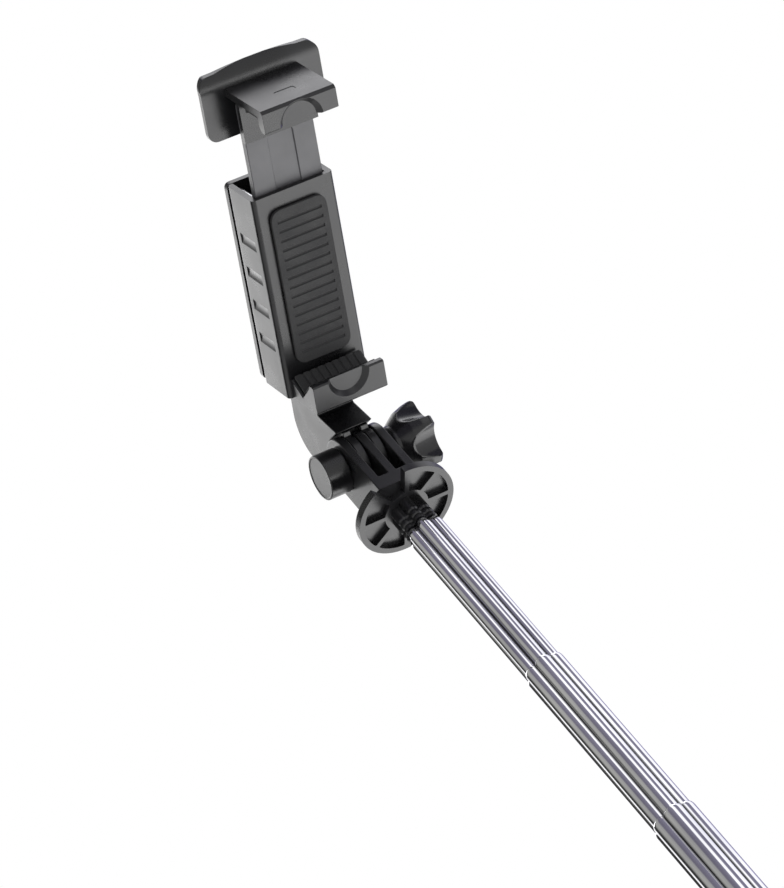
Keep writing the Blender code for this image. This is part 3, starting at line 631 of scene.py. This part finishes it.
def make_nut_cap():
    """Round cap over the captive nut, with a raised rim round its face."""
    end = -12.2 * MM
    profile = [
        (0, -FORK_HALF - GAP),
        (5.7 * MM, -FORK_HALF - GAP),
        (5.7 * MM, end),
        (5.15 * MM, end),
        (5.05 * MM, end + 0.12 * MM),
        (0, end + 0.12 * MM),
    ]
    piece(
        "round_nut_cap",
        lathe(filleted(profile, 0.3 * MM, 4, False), 96, turn=ALONG_X),
        black,
        "section_1",
        AT_HINGE,
        smooth=40,
        stands_for=["nut_cap"],
    )


def make_washer():
    start = FORK_HALF + GAP
    end = start + 0.8 * MM
    profile = [(5.2 * MM, end), (5.2 * MM, start), (2.25 * MM, start), (2.25 * MM, end)]
    piece(
        "dished_washer",
        lathe(filleted(profile, 0.2 * MM, 3), 72, True, ALONG_X),
        screw_steel,
        "section_1",
        AT_HINGE,
        smooth=40,
        stands_for=["knob_washer"],
    )


def make_knob():
    """Five-lobed knob: a turned body bitten by five long flutes whose rims are rounded over."""
    start, end = 7.4 * MM, 17.5 * MM
    profile = filleted(
        [
            (0, start),
            (5.2 * MM, start),
            (5.5 * MM, start + 1.2 * MM),
            (7.7 * MM, start + 4.4 * MM),
            (8.55 * MM, start + 7.2 * MM),
            (8.9 * MM, end - 0.9 * MM),
            (8.3 * MM, end),
            (4.4 * MM, end),
            (3.9 * MM, end - 0.7 * MM),
            (0, end - 0.7 * MM),
        ],
        0.9 * MM,
        6,
        False,
    )
    dense = []
    for (r0, h0), (r1, h1) in zip(profile, profile[1:]):
        parts = max(1, math.ceil(math.hypot(r1 - r0, h1 - h0) / (0.45 * MM)))
        dense += [(r0 + (r1 - r0) * i / parts, h0 + (h1 - h0) * i / parts) for i in range(parts)]
    dense.append(profile[-1])
    steps = 300
    blend = 0.45 * MM
    rings = []
    for radius, height in dense[1:-1]:
        share = (height - start) / (end - start)
        centre = (12.5 - 2.1 * share) * MM
        flute = (4.9 + 0.15 * share) * MM
        ring = []
        for i in range(steps):
            turn = 2 * math.pi * i / steps
            off = (turn - math.radians(131 + 36)) % (2 * math.pi / 5)
            off = min(off, 2 * math.pi / 5 - off)
            reach = flute**2 - (centre * math.sin(off)) ** 2
            limit = centre * math.cos(off) - math.sqrt(reach) if reach > 0 else centre
            soft = max(blend - abs(radius - limit), 0.0) / blend
            out = min(radius, limit) - soft * soft * blend / 4
            ring.append((height, out * math.cos(turn), out * math.sin(turn)))
        rings.append(ring)
    piece("five_lobed_knob", loft(rings), knob_black, "knob", AT_HINGE, smooth=50, stands_for=["star_knob"])


make_disc()
make_ears()
make_hub()
make_nut_cap()
make_washer()
make_knob()


# ---------------------------------------------------------------- clamp


def scoop(height):
    """Thumb recess in the middle of a lip's front."""
    return rod((0, LIP_FRONT - 1 * MM, height), (0, LIP_FRONT + 1.3 * MM, height), 6.6 * MM, 72, 4.5 * MM)


def slanted_floor(y, rise):
    """A point over the lower hook's V-shaped floor."""
    front, bottom, back = (2.5 * MM, 22.5 * MM), (6.6 * MM, 18.6 * MM), (11.3 * MM, 21.6 * MM)
    other = front if y < bottom[0] else back
    share = (y - bottom[0]) / (other[0] - bottom[0])
    return y, bottom[1] + share * (other[1] - bottom[1]) + rise


def make_housing():
    """Open-topped box behind the phone, with four finger dips down each side."""
    outline = rectangle(-HOUSING_HALF, HOUSING_FRONT, HOUSING_HALF, HOUSING_BACK, 1.2 * MM)
    inside = box(-9.5 * MM, 13.1 * MM, FLOOR_LOW + 1.8 * MM, 9.5 * MM, 30 * MM, HOUSING_TOP + 5 * MM)
    sides = []
    for side in (-1, 1):
        for number in range(4):
            z = (30 + 9 * number) * MM
            sides.append(rod((side * 14.2 * MM, 14.5 * MM, z), (side * 14.2 * MM, 22 * MM, z), 3.5 * MM, 48))
    piece(
        "clamp_housing",
        prism(outline, FLOOR_LOW, HOUSING_TOP),
        black,
        "clamp",
        AT_CLAMP,
        cuts=[inside] + sides,
        bevel=0.3 * MM,
        stands_for=["clamp_base"],
    )


def make_lower_hook():
    outline = [
        (LIP_FRONT, FLOOR_LOW + 0.4 * MM),
        (LIP_FRONT, LIP_HIGH - 0.4 * MM),
        (LIP_FRONT + 0.4 * MM, LIP_HIGH),
        (1.6 * MM, LIP_HIGH),
        slanted_floor(2.5 * MM, 0),
        slanted_floor(6.6 * MM, 0),
        slanted_floor(11.3 * MM, 0),
        (HOUSING_FRONT + 1.0 * MM, 21.6 * MM),
        (HOUSING_FRONT + 1.0 * MM, FLOOR_LOW + 0.6 * MM),
        (HOUSING_FRONT - 0.5 * MM, FLOOR_LOW),
        (LIP_FRONT + 0.4 * MM, FLOOR_LOW),
    ]
    piece(
        "lower_hook",
        prism(outline, -JAW_HALF, JAW_HALF, ALONG_X),
        black,
        "clamp",
        AT_CLAMP,
        cuts=[scoop(LIP_HIGH)],
        bevel=0.22 * MM,
    )


def make_arm():
    """Curved arm from the housing to the hinge, and its two lugs."""
    outline = (
        [(HOUSING_FRONT + 2.0 * MM, FLOOR_LOW + 0.7 * MM), (10.5 * MM, 10.0 * MM), (1.8 * MM, 8.7 * MM)]
        + arc((0, 0), 7.9 * MM, 57, 30, 8)
        + [(12.3 * MM, -5.5 * MM), (14.5 * MM, -5.4 * MM)]
        + arc((15.0 * MM, 4.6 * MM), 9.9 * MM, -80, -5, 20)
        + [(HOUSING_BACK + 0.3 * MM, FLOOR_LOW - 0.9 * MM), (HOUSING_BACK - 0.4 * MM, FLOOR_LOW + 0.7 * MM)]
    )
    piece("tilt_arm", prism(outline, -5.0 * MM, 5.0 * MM, ALONG_X), black, "clamp", AT_CLAMP, bevel=0.3 * MM)
    for side, name in ((-1, "hinge_lug_left"), (1, "hinge_lug_right")):
        lug = (
            [(12.5 * MM, 9.2 * MM), (1.6 * MM, 8.2 * MM)]
            + arc((0, 0), LUG_RADIUS, 80, 340, 60)
            + [(12.5 * MM, -2.9 * MM)]
        )
        middle = side * LUG_X
        flat = prism(lug, middle - LUG_WIDTH / 2, middle + LUG_WIDTH / 2, ALONG_X)
        piece(name, flat, black, "clamp", AT_CLAMP, cuts=[bolt_hole()], bevel=0.2 * MM)


def screw_shape(place, head_y, tip_y):
    """Pan-head screw along Y, its head towards +Y, with a cross recess."""
    x, z = place
    profile = [
        (0, tip_y),
        (0.7 * MM, tip_y),
        (0.75 * MM, head_y),
        (1.5 * MM, head_y),
        (1.5 * MM, head_y + 0.35 * MM),
        (1.1 * MM, head_y + 0.72 * MM),
        (0, head_y + 0.8 * MM),
    ]
    bm = lathe(filleted(profile, 0.12 * MM, 3, False), 40, turn=ALONG_Y)
    bm.transform(Matrix.Translation((x, 0, z)))
    top, depth = head_y + 1.5 * MM, head_y + 0.25 * MM
    slots = [
        box(x - 0.75 * MM, depth, z - 0.16 * MM, x + 0.75 * MM, top, z + 0.16 * MM),
        box(x - 0.16 * MM, depth, z - 0.75 * MM, x + 0.16 * MM, top, z + 0.75 * MM),
    ]
    return bm, slots


def make_screws():
    """The cover's and the slide's screws; gives back the places of the cover's."""
    heights = (FLOOR_LOW + 4.4 * MM, HOUSING_TOP - 2.4 * MM)
    cover_places = [(side * 8.0 * MM, z) for side in (-1, 1) for z in heights]
    rows = [("cover", "clamp", cover_places, 25.5 * MM, 18.0 * MM)]
    rows.append(("slide", "jaw", SLIDE_SCREWS, 15.7 * MM, 12.55 * MM))
    for kind, body, places, head_y, tip_y in rows:
        for number, place in enumerate(places, start=1):
            bm, slots = screw_shape(place, head_y, tip_y)
            piece(
                f"{kind}_pan_screw_{number}",
                bm,
                screw_steel,
                body,
                AT_CLAMP,
                cuts=slots,
                smooth=40,
                stands_for=[f"{kind}_screw_{number}"],
            )
    return cover_places


def make_back_cover(places):
    """Screwed cover with a sunk panel of grip ribs."""
    outline = rectangle(-HOUSING_HALF, FLOOR_LOW + 0.3 * MM, HOUSING_HALF, HOUSING_TOP, 1.5 * MM)
    cuts = [rod((x, 20 * MM, z), (x, 30 * MM, z), 1.0 * MM, 32) for x, z in places]
    cuts += [rod((x, COVER_BACK - 0.95 * MM, z), (x, 30 * MM, z), 1.85 * MM, 48) for x, z in places]
    panel = rectangle(-7.6 * MM, 26.5 * MM, 7.6 * MM, 62 * MM, 2.5 * MM)
    cuts.append(prism(panel, COVER_BACK - 0.35 * MM, 30 * MM, ALONG_Y))
    piece(
        "housing_back_cover",
        prism(outline, 24.7 * MM, COVER_BACK, ALONG_Y),
        black,
        "clamp",
        AT_CLAMP,
        cuts=cuts,
        bevel=0.2 * MM,
        stands_for=["back_cover"],
    )
    for number in range(7):
        z = (31.0 + 4.4 * number) * MM
        rib = prism(rectangle(-6.3 * MM, z, 6.3 * MM, z + 1.3 * MM, 0.6 * MM), 25.7 * MM, 26.1 * MM, ALONG_Y)
        piece(f"cover_grip_rib_{number + 1}", rib, black, "clamp", AT_CLAMP, bevel=0.15 * MM)


def pad_grooves(low, high):
    """Eight cuts across a hook's pad."""
    middles = [(-7 + 2 * number) * MM for number in range(8)]
    return [box(x - 0.3 * MM, 2 * MM, low, x + 0.3 * MM, 12 * MM, high) for x in middles]


def floor_layer(top):
    """Outline of a rubber layer on the V-shaped floor, up to this height over it."""
    places = (3.1 * MM, 6.6 * MM, 10.9 * MM)
    return [slanted_floor(y, 0.42 * MM) for y in places] + [slanted_floor(y, top) for y in reversed(places)]


def make_lower_pad():
    piece(
        "lower_hook_pad",
        prism(floor_layer(1.3 * MM), -PAD_HALF, PAD_HALF, ALONG_X),
        rubber,
        "clamp",
        AT_CLAMP,
        cuts=pad_grooves(0, 30 * MM),
        bevel=0.1 * MM,
        stands_for=["lower_pad"],
    )
    web = prism(floor_layer(1.05 * MM), -8.9 * MM, 8.9 * MM, ALONG_X)
    piece("lower_pad_web", web, rubber, "clamp", AT_CLAMP)


def make_upper_pad():
    outline = [
        (2.9 * MM, UPPER_FLOOR - 0.3 * MM),
        (10.3 * MM, UPPER_FLOOR - 0.3 * MM),
        (10.3 * MM, UPPER_FLOOR - 1.85 * MM),
        (8.6 * MM, UPPER_FLOOR - 1.3 * MM),
        (4.7 * MM, UPPER_FLOOR - 1.3 * MM),
        (2.9 * MM, UPPER_FLOOR - 1.85 * MM),
    ]
    piece(
        "upper_hook_pad",
        prism(outline, -PAD_HALF, PAD_HALF, ALONG_X),
        rubber,
        "jaw",
        AT_CLAMP,
        cuts=pad_grooves(UPPER_FLOOR - 3 * MM, UPPER_FLOOR - 0.95 * MM),
        bevel=0.1 * MM,
        stands_for=["upper_pad"],
    )


def make_rear_pad():
    """Ribbed pad that the back of the phone rests on."""
    rest = prism(rectangle(-7.5 * MM, 25 * MM, 7.5 * MM, 66 * MM, 3 * MM, 8), 10.7 * MM, 11.5 * MM, ALONG_Y)
    channels = []
    for number in range(15):
        z = (28 + 2.5 * number) * MM
        channels.append(rod((-6.0 * MM, 10.62 * MM, z), (6.0 * MM, 10.62 * MM, z), 0.42 * MM, 16))
    piece(
        "phone_rest_pad",
        rest,
        rubber,
        "clamp",
        AT_CLAMP,
        cuts=channels,
        bevel=0.14 * MM,
        stands_for=["rear_pad"],
    )


def make_paddle():
    """Flat pull plate behind the upper hook, its top leaning back."""
    centre = (PADDLE_FRONT + PADDLE_CURVE, PADDLE_BEND)
    side = (
        [(PADDLE_FRONT, PADDLE_LOW)]
        + arc(centre, PADDLE_CURVE, 180, 180 - PADDLE_LEAN, 28)
        + arc(centre, PADDLE_CURVE - WALL, 180 - PADDLE_LEAN, 180, 28)
        + [(PADDLE_FRONT + WALL, PADDLE_LOW)]
    )
    top = PADDLE_BEND + PADDLE_CURVE * math.sin(math.radians(PADDLE_LEAN)) + 0.05 * MM
    outline = (
        arc((PADDLE_HALF - 2.5 * MM, PADDLE_LOW + 2.5 * MM), 2.5 * MM, -90, 0, 8)
        + arc((PADDLE_HALF - 3 * MM, top - 3.9 * MM), 3 * MM, 0, 80, 12)
        + arc((0, top - 70 * MM), 70 * MM, 81, 99, 16)
        + arc((-PADDLE_HALF + 3 * MM, top - 3.9 * MM), 3 * MM, 100, 180, 12)
        + arc((-PADDLE_HALF + 2.5 * MM, PADDLE_LOW + 2.5 * MM), 2.5 * MM, 180, 270, 8)
    )
    holes = []
    for x, z in SLIDE_SCREWS:
        holes.append(rod((x, PADDLE_FRONT - 1 * MM, z), (x, PADDLE_FRONT + 3 * MM, z), 1.9 * MM, 40))
    piece(
        "pull_plate",
        prism(side, -PADDLE_HALF, PADDLE_HALF, ALONG_X),
        black,
        "jaw",
        AT_CLAMP,
        meets=[prism(outline, -5 * MM, 40 * MM, ALONG_Y)],
        cuts=holes,
        bevel=0.45 * MM,
        stands_for=["upper_jaw"],
    )


def make_upper_hook():
    """Lip, shelf and the tongue that the slide plate is screwed to."""
    lip = [
        (LIP_FRONT, UPPER_TOP - 0.7 * MM),
        (LIP_FRONT, UPPER_LIP_LOW + 0.3 * MM),
        (LIP_FRONT + 0.3 * MM, UPPER_LIP_LOW),
        (1.6 * MM, UPPER_LIP_LOW),
        (2.5 * MM, UPPER_LIP_LOW + 1.4 * MM),
        (2.5 * MM, UPPER_FLOOR),
        (PADDLE_FRONT + 0.6 * MM, UPPER_FLOOR),
        (PADDLE_FRONT + 0.6 * MM, UPPER_TOP),
        (LIP_FRONT + 0.7 * MM, UPPER_TOP),
    ]
    dent = rectangle(-2.6 * MM, 5.4 * MM, 2.6 * MM, 7.4 * MM, 0.6 * MM)
    tongue_back = HOUSING_FRONT + WALL
    tongue = box(-JAW_HALF, HOUSING_FRONT, PADDLE_LOW, JAW_HALF, tongue_back, UPPER_FLOOR + 0.8 * MM)
    piece(
        "upper_hook",
        prism(lip, -JAW_HALF, JAW_HALF, ALONG_X),
        black,
        "jaw",
        AT_CLAMP,
        joins=[tongue],
        cuts=[scoop(UPPER_LIP_LOW), prism(dent, UPPER_TOP - 0.12 * MM, 99 * MM)],
        bevel=0.2 * MM,
    )


def make_slide_plate():
    """Grooved plate that slides in the housing, and the tab that the springs pull on."""
    outline = rectangle(-9.1 * MM, 36 * MM, 9.1 * MM, 94 * MM, 1.2 * MM)
    channel = prism(rectangle(-3.4 * MM, 58 * MM, 3.4 * MM, 86 * MM, 3.3 * MM), 12 * MM, 13.75 * MM, ALONG_Y)
    rails = []
    for middle in (-6.6 * MM, 6.6 * MM):
        groove = rectangle(middle - 0.5 * MM, 30 * MM, middle + 0.5 * MM, 86 * MM, 0.45 * MM)
        rails.append(prism(groove, 12 * MM, 13.7 * MM, ALONG_Y))
    piece(
        "jaw_slide_plate",
        prism(outline, 13.4 * MM, 15.4 * MM, ALONG_Y),
        grey,
        "jaw",
        AT_CLAMP,
        cuts=[channel] + rails,
        bevel=0.2 * MM,
        stands_for=["slide_plate"],
    )
    tab = box(-5.6 * MM, 15.0 * MM, 53 * MM, 5.6 * MM, 22.6 * MM, 55 * MM)
    piece("spring_tab", tab, grey, "jaw", AT_CLAMP, bevel=0.3 * MM)


def make_springs():
    """Coil springs from the housing's floor to the slide plate's tab."""
    low, high = FLOOR_LOW + 2.5 * MM, 52.3 * MM
    turns, per_turn, sides = 14, 20, 8
    coil, wire = 1.8 * MM, 0.32 * MM
    for side, name in ((-1, "clamp_spring_left"), (1, "clamp_spring_right")):
        rings = []
        for i in range(turns * per_turn + 1):
            turn = 2 * math.pi * i / per_turn
            out = Vector((math.cos(turn), math.sin(turn), 0))
            height = low + (high - low) * i / (turns * per_turn)
            centre = Vector((side * 3.4 * MM, 20.0 * MM, height)) + out * coil
            ring = []
            for k in range(sides):
                lean = 2 * math.pi * k / sides
                ring.append(centre + out * wire * math.cos(lean) + Vector((0, 0, wire * math.sin(lean))))
            rings.append(ring)
        made = piece(
            name.replace("clamp", "coil"),
            loft(rings),
            screw_steel,
            None,
            AT_CLAMP,
            smooth=60,
            stands_for=[name],
        )
        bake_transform(made)


make_housing()
make_lower_hook()
make_arm()
make_back_cover(make_screws())
make_lower_pad()
make_upper_pad()
make_rear_pad()
make_paddle()
make_upper_hook()
make_slide_plate()
make_springs()


# ---------------------------------------------------------------- handle


def make_end_cap():
    """Plug in the foot of the handle, with a pocket for a wrist strap."""
    profile = [
        (0, 18 * MM),
        (8.7 * MM, 18 * MM),
        (PLUG_RADIUS, 18 * MM),
        (PLUG_RADIUS, 9 * MM),
        (END_RADIUS, 9 * MM),
        (END_RADIUS, 1.2 * MM),
        (11.9 * MM, 0),
        (8.6 * MM, 0),
        (8.3 * MM, 0.3 * MM),
        (0, 0.3 * MM),
    ]
    pocket = box(-2.6 * MM, 7.2 * MM, 1.7 * MM, 2.6 * MM, 15 * MM, 7.3 * MM)
    piece(
        "handle_end_cap",
        lathe(filleted(profile, 0.5 * MM, 4, False), 96),
        handle_black,
        "handle",
        cuts=[pocket],
        bevel=0.12 * MM,
        stands_for=["end_cap"],
    )


def shutter_opening(radius, steps):
    """Round way through the front of the handle, over the button."""
    return rod((0, BUTTON_WAY_IN, BUTTON_HEIGHT), (0, BUTTON_WAY_OUT, BUTTON_HEIGHT), radius, steps)


def port_outline(half_width, half_height, radius):
    """Rounded outline about the charging socket's middle."""
    low, high = PORT_HEIGHT - half_height, PORT_HEIGHT + half_height
    return rectangle(-half_width, low, half_width, high, radius)


def make_shell():
    """Handle tube, with openings for the button and the charging socket."""
    inner, outer = SHELL_BORE, SHELL_RADIUS
    low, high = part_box("handle_shell")[0].z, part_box("handle_shell")[1].z
    profile = [(outer, high), (outer, low + 1.4 * MM), (outer - 0.35 * MM, low + 0.9 * MM)]
    profile += [(outer, low + 0.4 * MM), (outer - 0.3 * MM, low), (inner, low), (inner, high)]
    port = prism(port_outline(4.1 * MM, 1.8 * MM, 1.7 * MM), -20 * MM, -9 * MM, ALONG_Y)
    piece(
        "handle_tube_shell",
        lathe(filleted(profile, 0.15 * MM, 2), 96, True),
        handle_black,
        "handle",
        cuts=[shutter_opening(3.9 * MM, 56), port],
        bevel=0.15 * MM,
        stands_for=["handle_shell"],
    )


def make_charge_socket():
    seat = prism(port_outline(3.7 * MM, 1.4 * MM, 1.35 * MM), -11.5 * MM, -9.6 * MM, ALONG_Y)
    mouth = prism(port_outline(3.2 * MM, 0.9 * MM, 0.9 * MM), -14 * MM, -10.2 * MM, ALONG_Y)
    piece(
        "charge_socket",
        seat,
        screw_steel,
        "handle",
        cuts=[mouth],
        bevel=0.1 * MM,
        stands_for=["charge_port"],
    )
    half = 0.25 * MM
    tongue = box(-2.4 * MM, -11.2 * MM, PORT_HEIGHT - half, 2.4 * MM, -10 * MM, PORT_HEIGHT + half)
    piece("charge_tongue", tongue, handle_black, "handle", bevel=0.08 * MM)


def make_collar():
    """Ring at the handle's top, bored to the fixed tube's lobes."""
    fixed = lobed_ring((SECTIONS - 1) * TUBE_STEP + 0.25 * MM, 0)
    bore = loft([[(p.x, p.y, h) for p in fixed] for h in (HANDLE_TOP - 20 * MM, HANDLE_TOP + 5 * MM)])
    profile = [
        (0, HANDLE_TOP),
        (12.3 * MM, HANDLE_TOP),
        (END_RADIUS, HANDLE_TOP - 0.8 * MM),
        (END_RADIUS, HANDLE_TOP - 3 * MM),
        (PLUG_RADIUS, HANDLE_TOP - 3 * MM),
        (PLUG_RADIUS, HANDLE_TOP - 12 * MM),
        (0, HANDLE_TOP - 12 * MM),
    ]
    piece(
        "handle_top_collar",
        lathe(filleted(profile, 0.4 * MM, 4, False), 96),
        handle_black,
        "handle",
        cuts=[bore],
        bevel=0.15 * MM,
        stands_for=["top_collar"],
    )


def make_grip():
    """Soft sleeve: fine turned ribs above and below a smooth band, with a thumb window over the button."""
    low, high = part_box("grip_sleeve")[0].z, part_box("grip_sleeve")[1].z
    inner, outer = 12.5 * MM, 13.8 * MM
    profile = [(outer - 0.9 * MM, high), (outer - 0.25 * MM, high - 0.3 * MM), (outer, high - 1.1 * MM)]
    pitch = 1.5 * MM
    depth = 0.42 * MM
    z = high - 4 * MM
    while z > low + 4 * MM:
        if abs(z - pitch / 2 - BUTTON_HEIGHT) >= 8.5 * MM:
            profile += [
                (outer, z),
                (outer - depth, z - 0.25 * MM),
                (outer - depth, z - 0.55 * MM),
                (outer, z - 0.8 * MM),
            ]
        z -= pitch
    profile += [(outer, low + 1.1 * MM), (outer - 0.25 * MM, low + 0.3 * MM), (outer - 0.9 * MM, low)]
    profile += [(inner, low), (inner, high)]
    dish = rod((0, -12.9 * MM, BUTTON_HEIGHT), (0, -15 * MM, BUTTON_HEIGHT), 5.0 * MM, 64, 9.0 * MM)
    piece(
        "ribbed_grip_sleeve",
        lathe(profile, 96, True),
        rubber,
        "handle",
        cuts=[shutter_opening(4.5 * MM, 64), dish],
        smooth=30,
        stands_for=["grip_sleeve"],
    )


def make_button():
    """Round push button with a dished face and a ring round it."""
    out = -SHELL_RADIUS
    profile = [
        (0, out + 1.3 * MM),
        (3.6 * MM, out + 1.3 * MM),
        (3.6 * MM, out - 1.5 * MM),
        (3.0 * MM, out - 2.25 * MM),
        (2.3 * MM, out - 2.2 * MM),
        (2.1 * MM, out - 1.95 * MM),
        (1.0 * MM, out - 1.75 * MM),
        (0, out - 1.7 * MM),
    ]
    bm = lathe(filleted(profile, 0.35 * MM, 4, False), 72, turn=ALONG_Y)
    bm.transform(Matrix.Translation((0, 0, BUTTON_HEIGHT)))
    piece(
        "push_button",
        bm,
        button_grey,
        "button",
        smooth=40,
        stands_for=["shutter_button"],
    )


make_end_cap()
make_shell()
make_charge_socket()
make_collar()
make_grip()
make_button()


# ---------------------------------------------------------------- studio

CAMERA_FROM_HINGE = Vector((-0.35169, -0.67736, -0.58902))
CAMERA_RIGHT = Vector((0.8533, 0.0002, -0.5213)).normalized()
CAMERA_AHEAD = Vector((0.3723, 0.6998, 0.6097)).normalized()
SENSOR = 36.0
FOCAL_PIXELS = 4000
FRAME_PIXELS = 784
FLOOR_HEIGHT = -0.62
FLOOR_REACH = 6.0

# Colours round the studio, by azimuth in degrees.
CARDS = [
    (181, (0.42, 0.42, 0.40)),
    (205, (0.38, 0.38, 0.37)),
    (222, (0.17, 0.16, 0.21)),
    (262, (0.22, 0.21, 0.28)),
    (270, (1.30, 1.30, 1.32)),
    (286, (1.30, 1.30, 1.32)),
    (298, (0.24, 0.23, 0.31)),
    (322, (0.20, 0.19, 0.27)),
    (332, (1.25, 1.25, 1.30)),
    (6, (1.10, 1.10, 1.20)),
    (22, (0.26, 0.24, 0.42)),
    (58, (0.32, 0.30, 0.50)),
    (66, (1.30, 1.30, 1.30)),
    (114, (1.20, 1.20, 1.20)),
    (123, (0.03, 0.03, 0.03)),
    (148, (0.04, 0.04, 0.04)),
    (170, (0.36, 0.36, 0.34)),
    (179, (0.42, 0.42, 0.40)),
]


def aimed(place, target):
    """Placed at a point with local -Z towards the target."""
    ahead = (Vector(target) - Vector(place)).normalized()
    return Matrix.Translation(place) @ ahead.to_track_quat("-Z", "Y").to_matrix().to_4x4()


def make_camera():
    data = bpy.data.cameras.new("camera")
    data.sensor_width = SENSOR
    data.sensor_fit = "HORIZONTAL"
    data.lens = SENSOR * FOCAL_PIXELS / FRAME_PIXELS
    data.clip_end = 50.0
    camera = bpy.data.objects.new("camera", data)
    bpy.context.scene.collection.objects.link(camera)
    up = CAMERA_RIGHT.cross(CAMERA_AHEAD)
    turn = Matrix((CAMERA_RIGHT, up, -CAMERA_AHEAD)).transposed().to_4x4()
    camera.matrix_world = Matrix.Translation(HINGE + CAMERA_FROM_HINGE) @ turn
    bpy.context.scene.camera = camera


def softbox(name, azimuth, elevation, distance, width, height, radiance):
    """A soft rectangular light aimed at the hinge from a direction in degrees."""
    a, e = math.radians(azimuth), math.radians(elevation)
    way = Vector((math.cos(a) * math.cos(e), math.sin(a) * math.cos(e), math.sin(e)))
    data = bpy.data.lights.new(name, "AREA")
    data.shape = "RECTANGLE"
    data.size = width
    data.size_y = height
    data.energy = radiance * math.pi * width * height
    light = bpy.data.objects.new(name, data)
    light.matrix_world = aimed(HINGE + way * distance, HINGE)
    light.visible_camera = False
    bpy.context.scene.collection.objects.link(light)


def make_world():
    """White all round; reflections see a ring of grey, white and faintly violet cards instead."""
    world = bpy.data.worlds.new("studio")
    bpy.context.scene.world = world
    world.use_nodes = True
    nodes, links = world.node_tree.nodes, world.node_tree.links
    seen = nodes["Background"]
    seen.inputs["Color"].default_value = (1.0, 1.0, 1.0, 1)
    way = nodes.new("ShaderNodeTexCoord")
    split = nodes.new("ShaderNodeSeparateXYZ")
    turn = nodes.new("ShaderNodeMath")
    turn.operation = "ARCTAN2"
    share = nodes.new("ShaderNodeMath")
    share.operation = "MULTIPLY_ADD"
    share.inputs[1].default_value = 1 / (2 * math.pi)
    share.inputs[2].default_value = 0.5
    ramp = nodes.new("ShaderNodeValToRGB")
    ramp.color_ramp.interpolation = "EASE"
    stops = ramp.color_ramp.elements
    for azimuth, colour in CARDS:
        stop = stops.new((azimuth / 360 + 0.5) % 1)
        stop.color = (*colour, 1)
    stops.remove(stops[0])
    stops.remove(stops[-1])
    around = nodes.new("ShaderNodeBackground")
    path = nodes.new("ShaderNodeLightPath")
    mix = nodes.new("ShaderNodeMixShader")
    links.new(way.outputs["Generated"], split.inputs[0])
    links.new(split.outputs["Y"], turn.inputs[0])
    links.new(split.outputs["X"], turn.inputs[1])
    links.new(turn.outputs["Value"], share.inputs[0])
    links.new(share.outputs["Value"], ramp.inputs["Fac"])
    links.new(ramp.outputs["Color"], around.inputs["Color"])
    links.new(path.outputs["Is Glossy Ray"], mix.inputs["Fac"])
    links.new(seen.outputs["Background"], mix.inputs[1])
    links.new(around.outputs["Background"], mix.inputs[2])
    links.new(mix.outputs["Shader"], nodes["World Output"].inputs["Surface"])


def make_floor():
    bm = bmesh.new()
    bmesh.ops.create_grid(bm, x_segments=1, y_segments=1, size=FLOOR_REACH)
    floor = mesh_object("floor", bm)
    floor.location = (0, 0, FLOOR_HEIGHT)
    finish = Finish("pale_floor")
    cloud = finish.noise(0.4, 3.0)
    finish.colour(cloud, (0.86, 0.86, 0.86), (0.90, 0.90, 0.90))
    finish.roughness(finish.spread(cloud, 0.6, 0.7))
    floor.data.materials.append(finish.material)


make_camera()
make_world()
make_floor()
softbox("left_back_softbox", 114, 53, 0.9, 0.60, 0.50, 2.0)
softbox("low_softbox", 48, -48, 0.9, 0.9, 0.9, 2.4)
softbox("top_softbox", 327, 66, 1.1, 0.6, 0.6, 1.8)
softbox("knob_softbox", 325, -65, 0.8, 0.42, 0.42, 3.2)

# Colours are shown as they are lit, so that the studio's white stays white.
bpy.context.scene.view_settings.view_transform = "Standard"
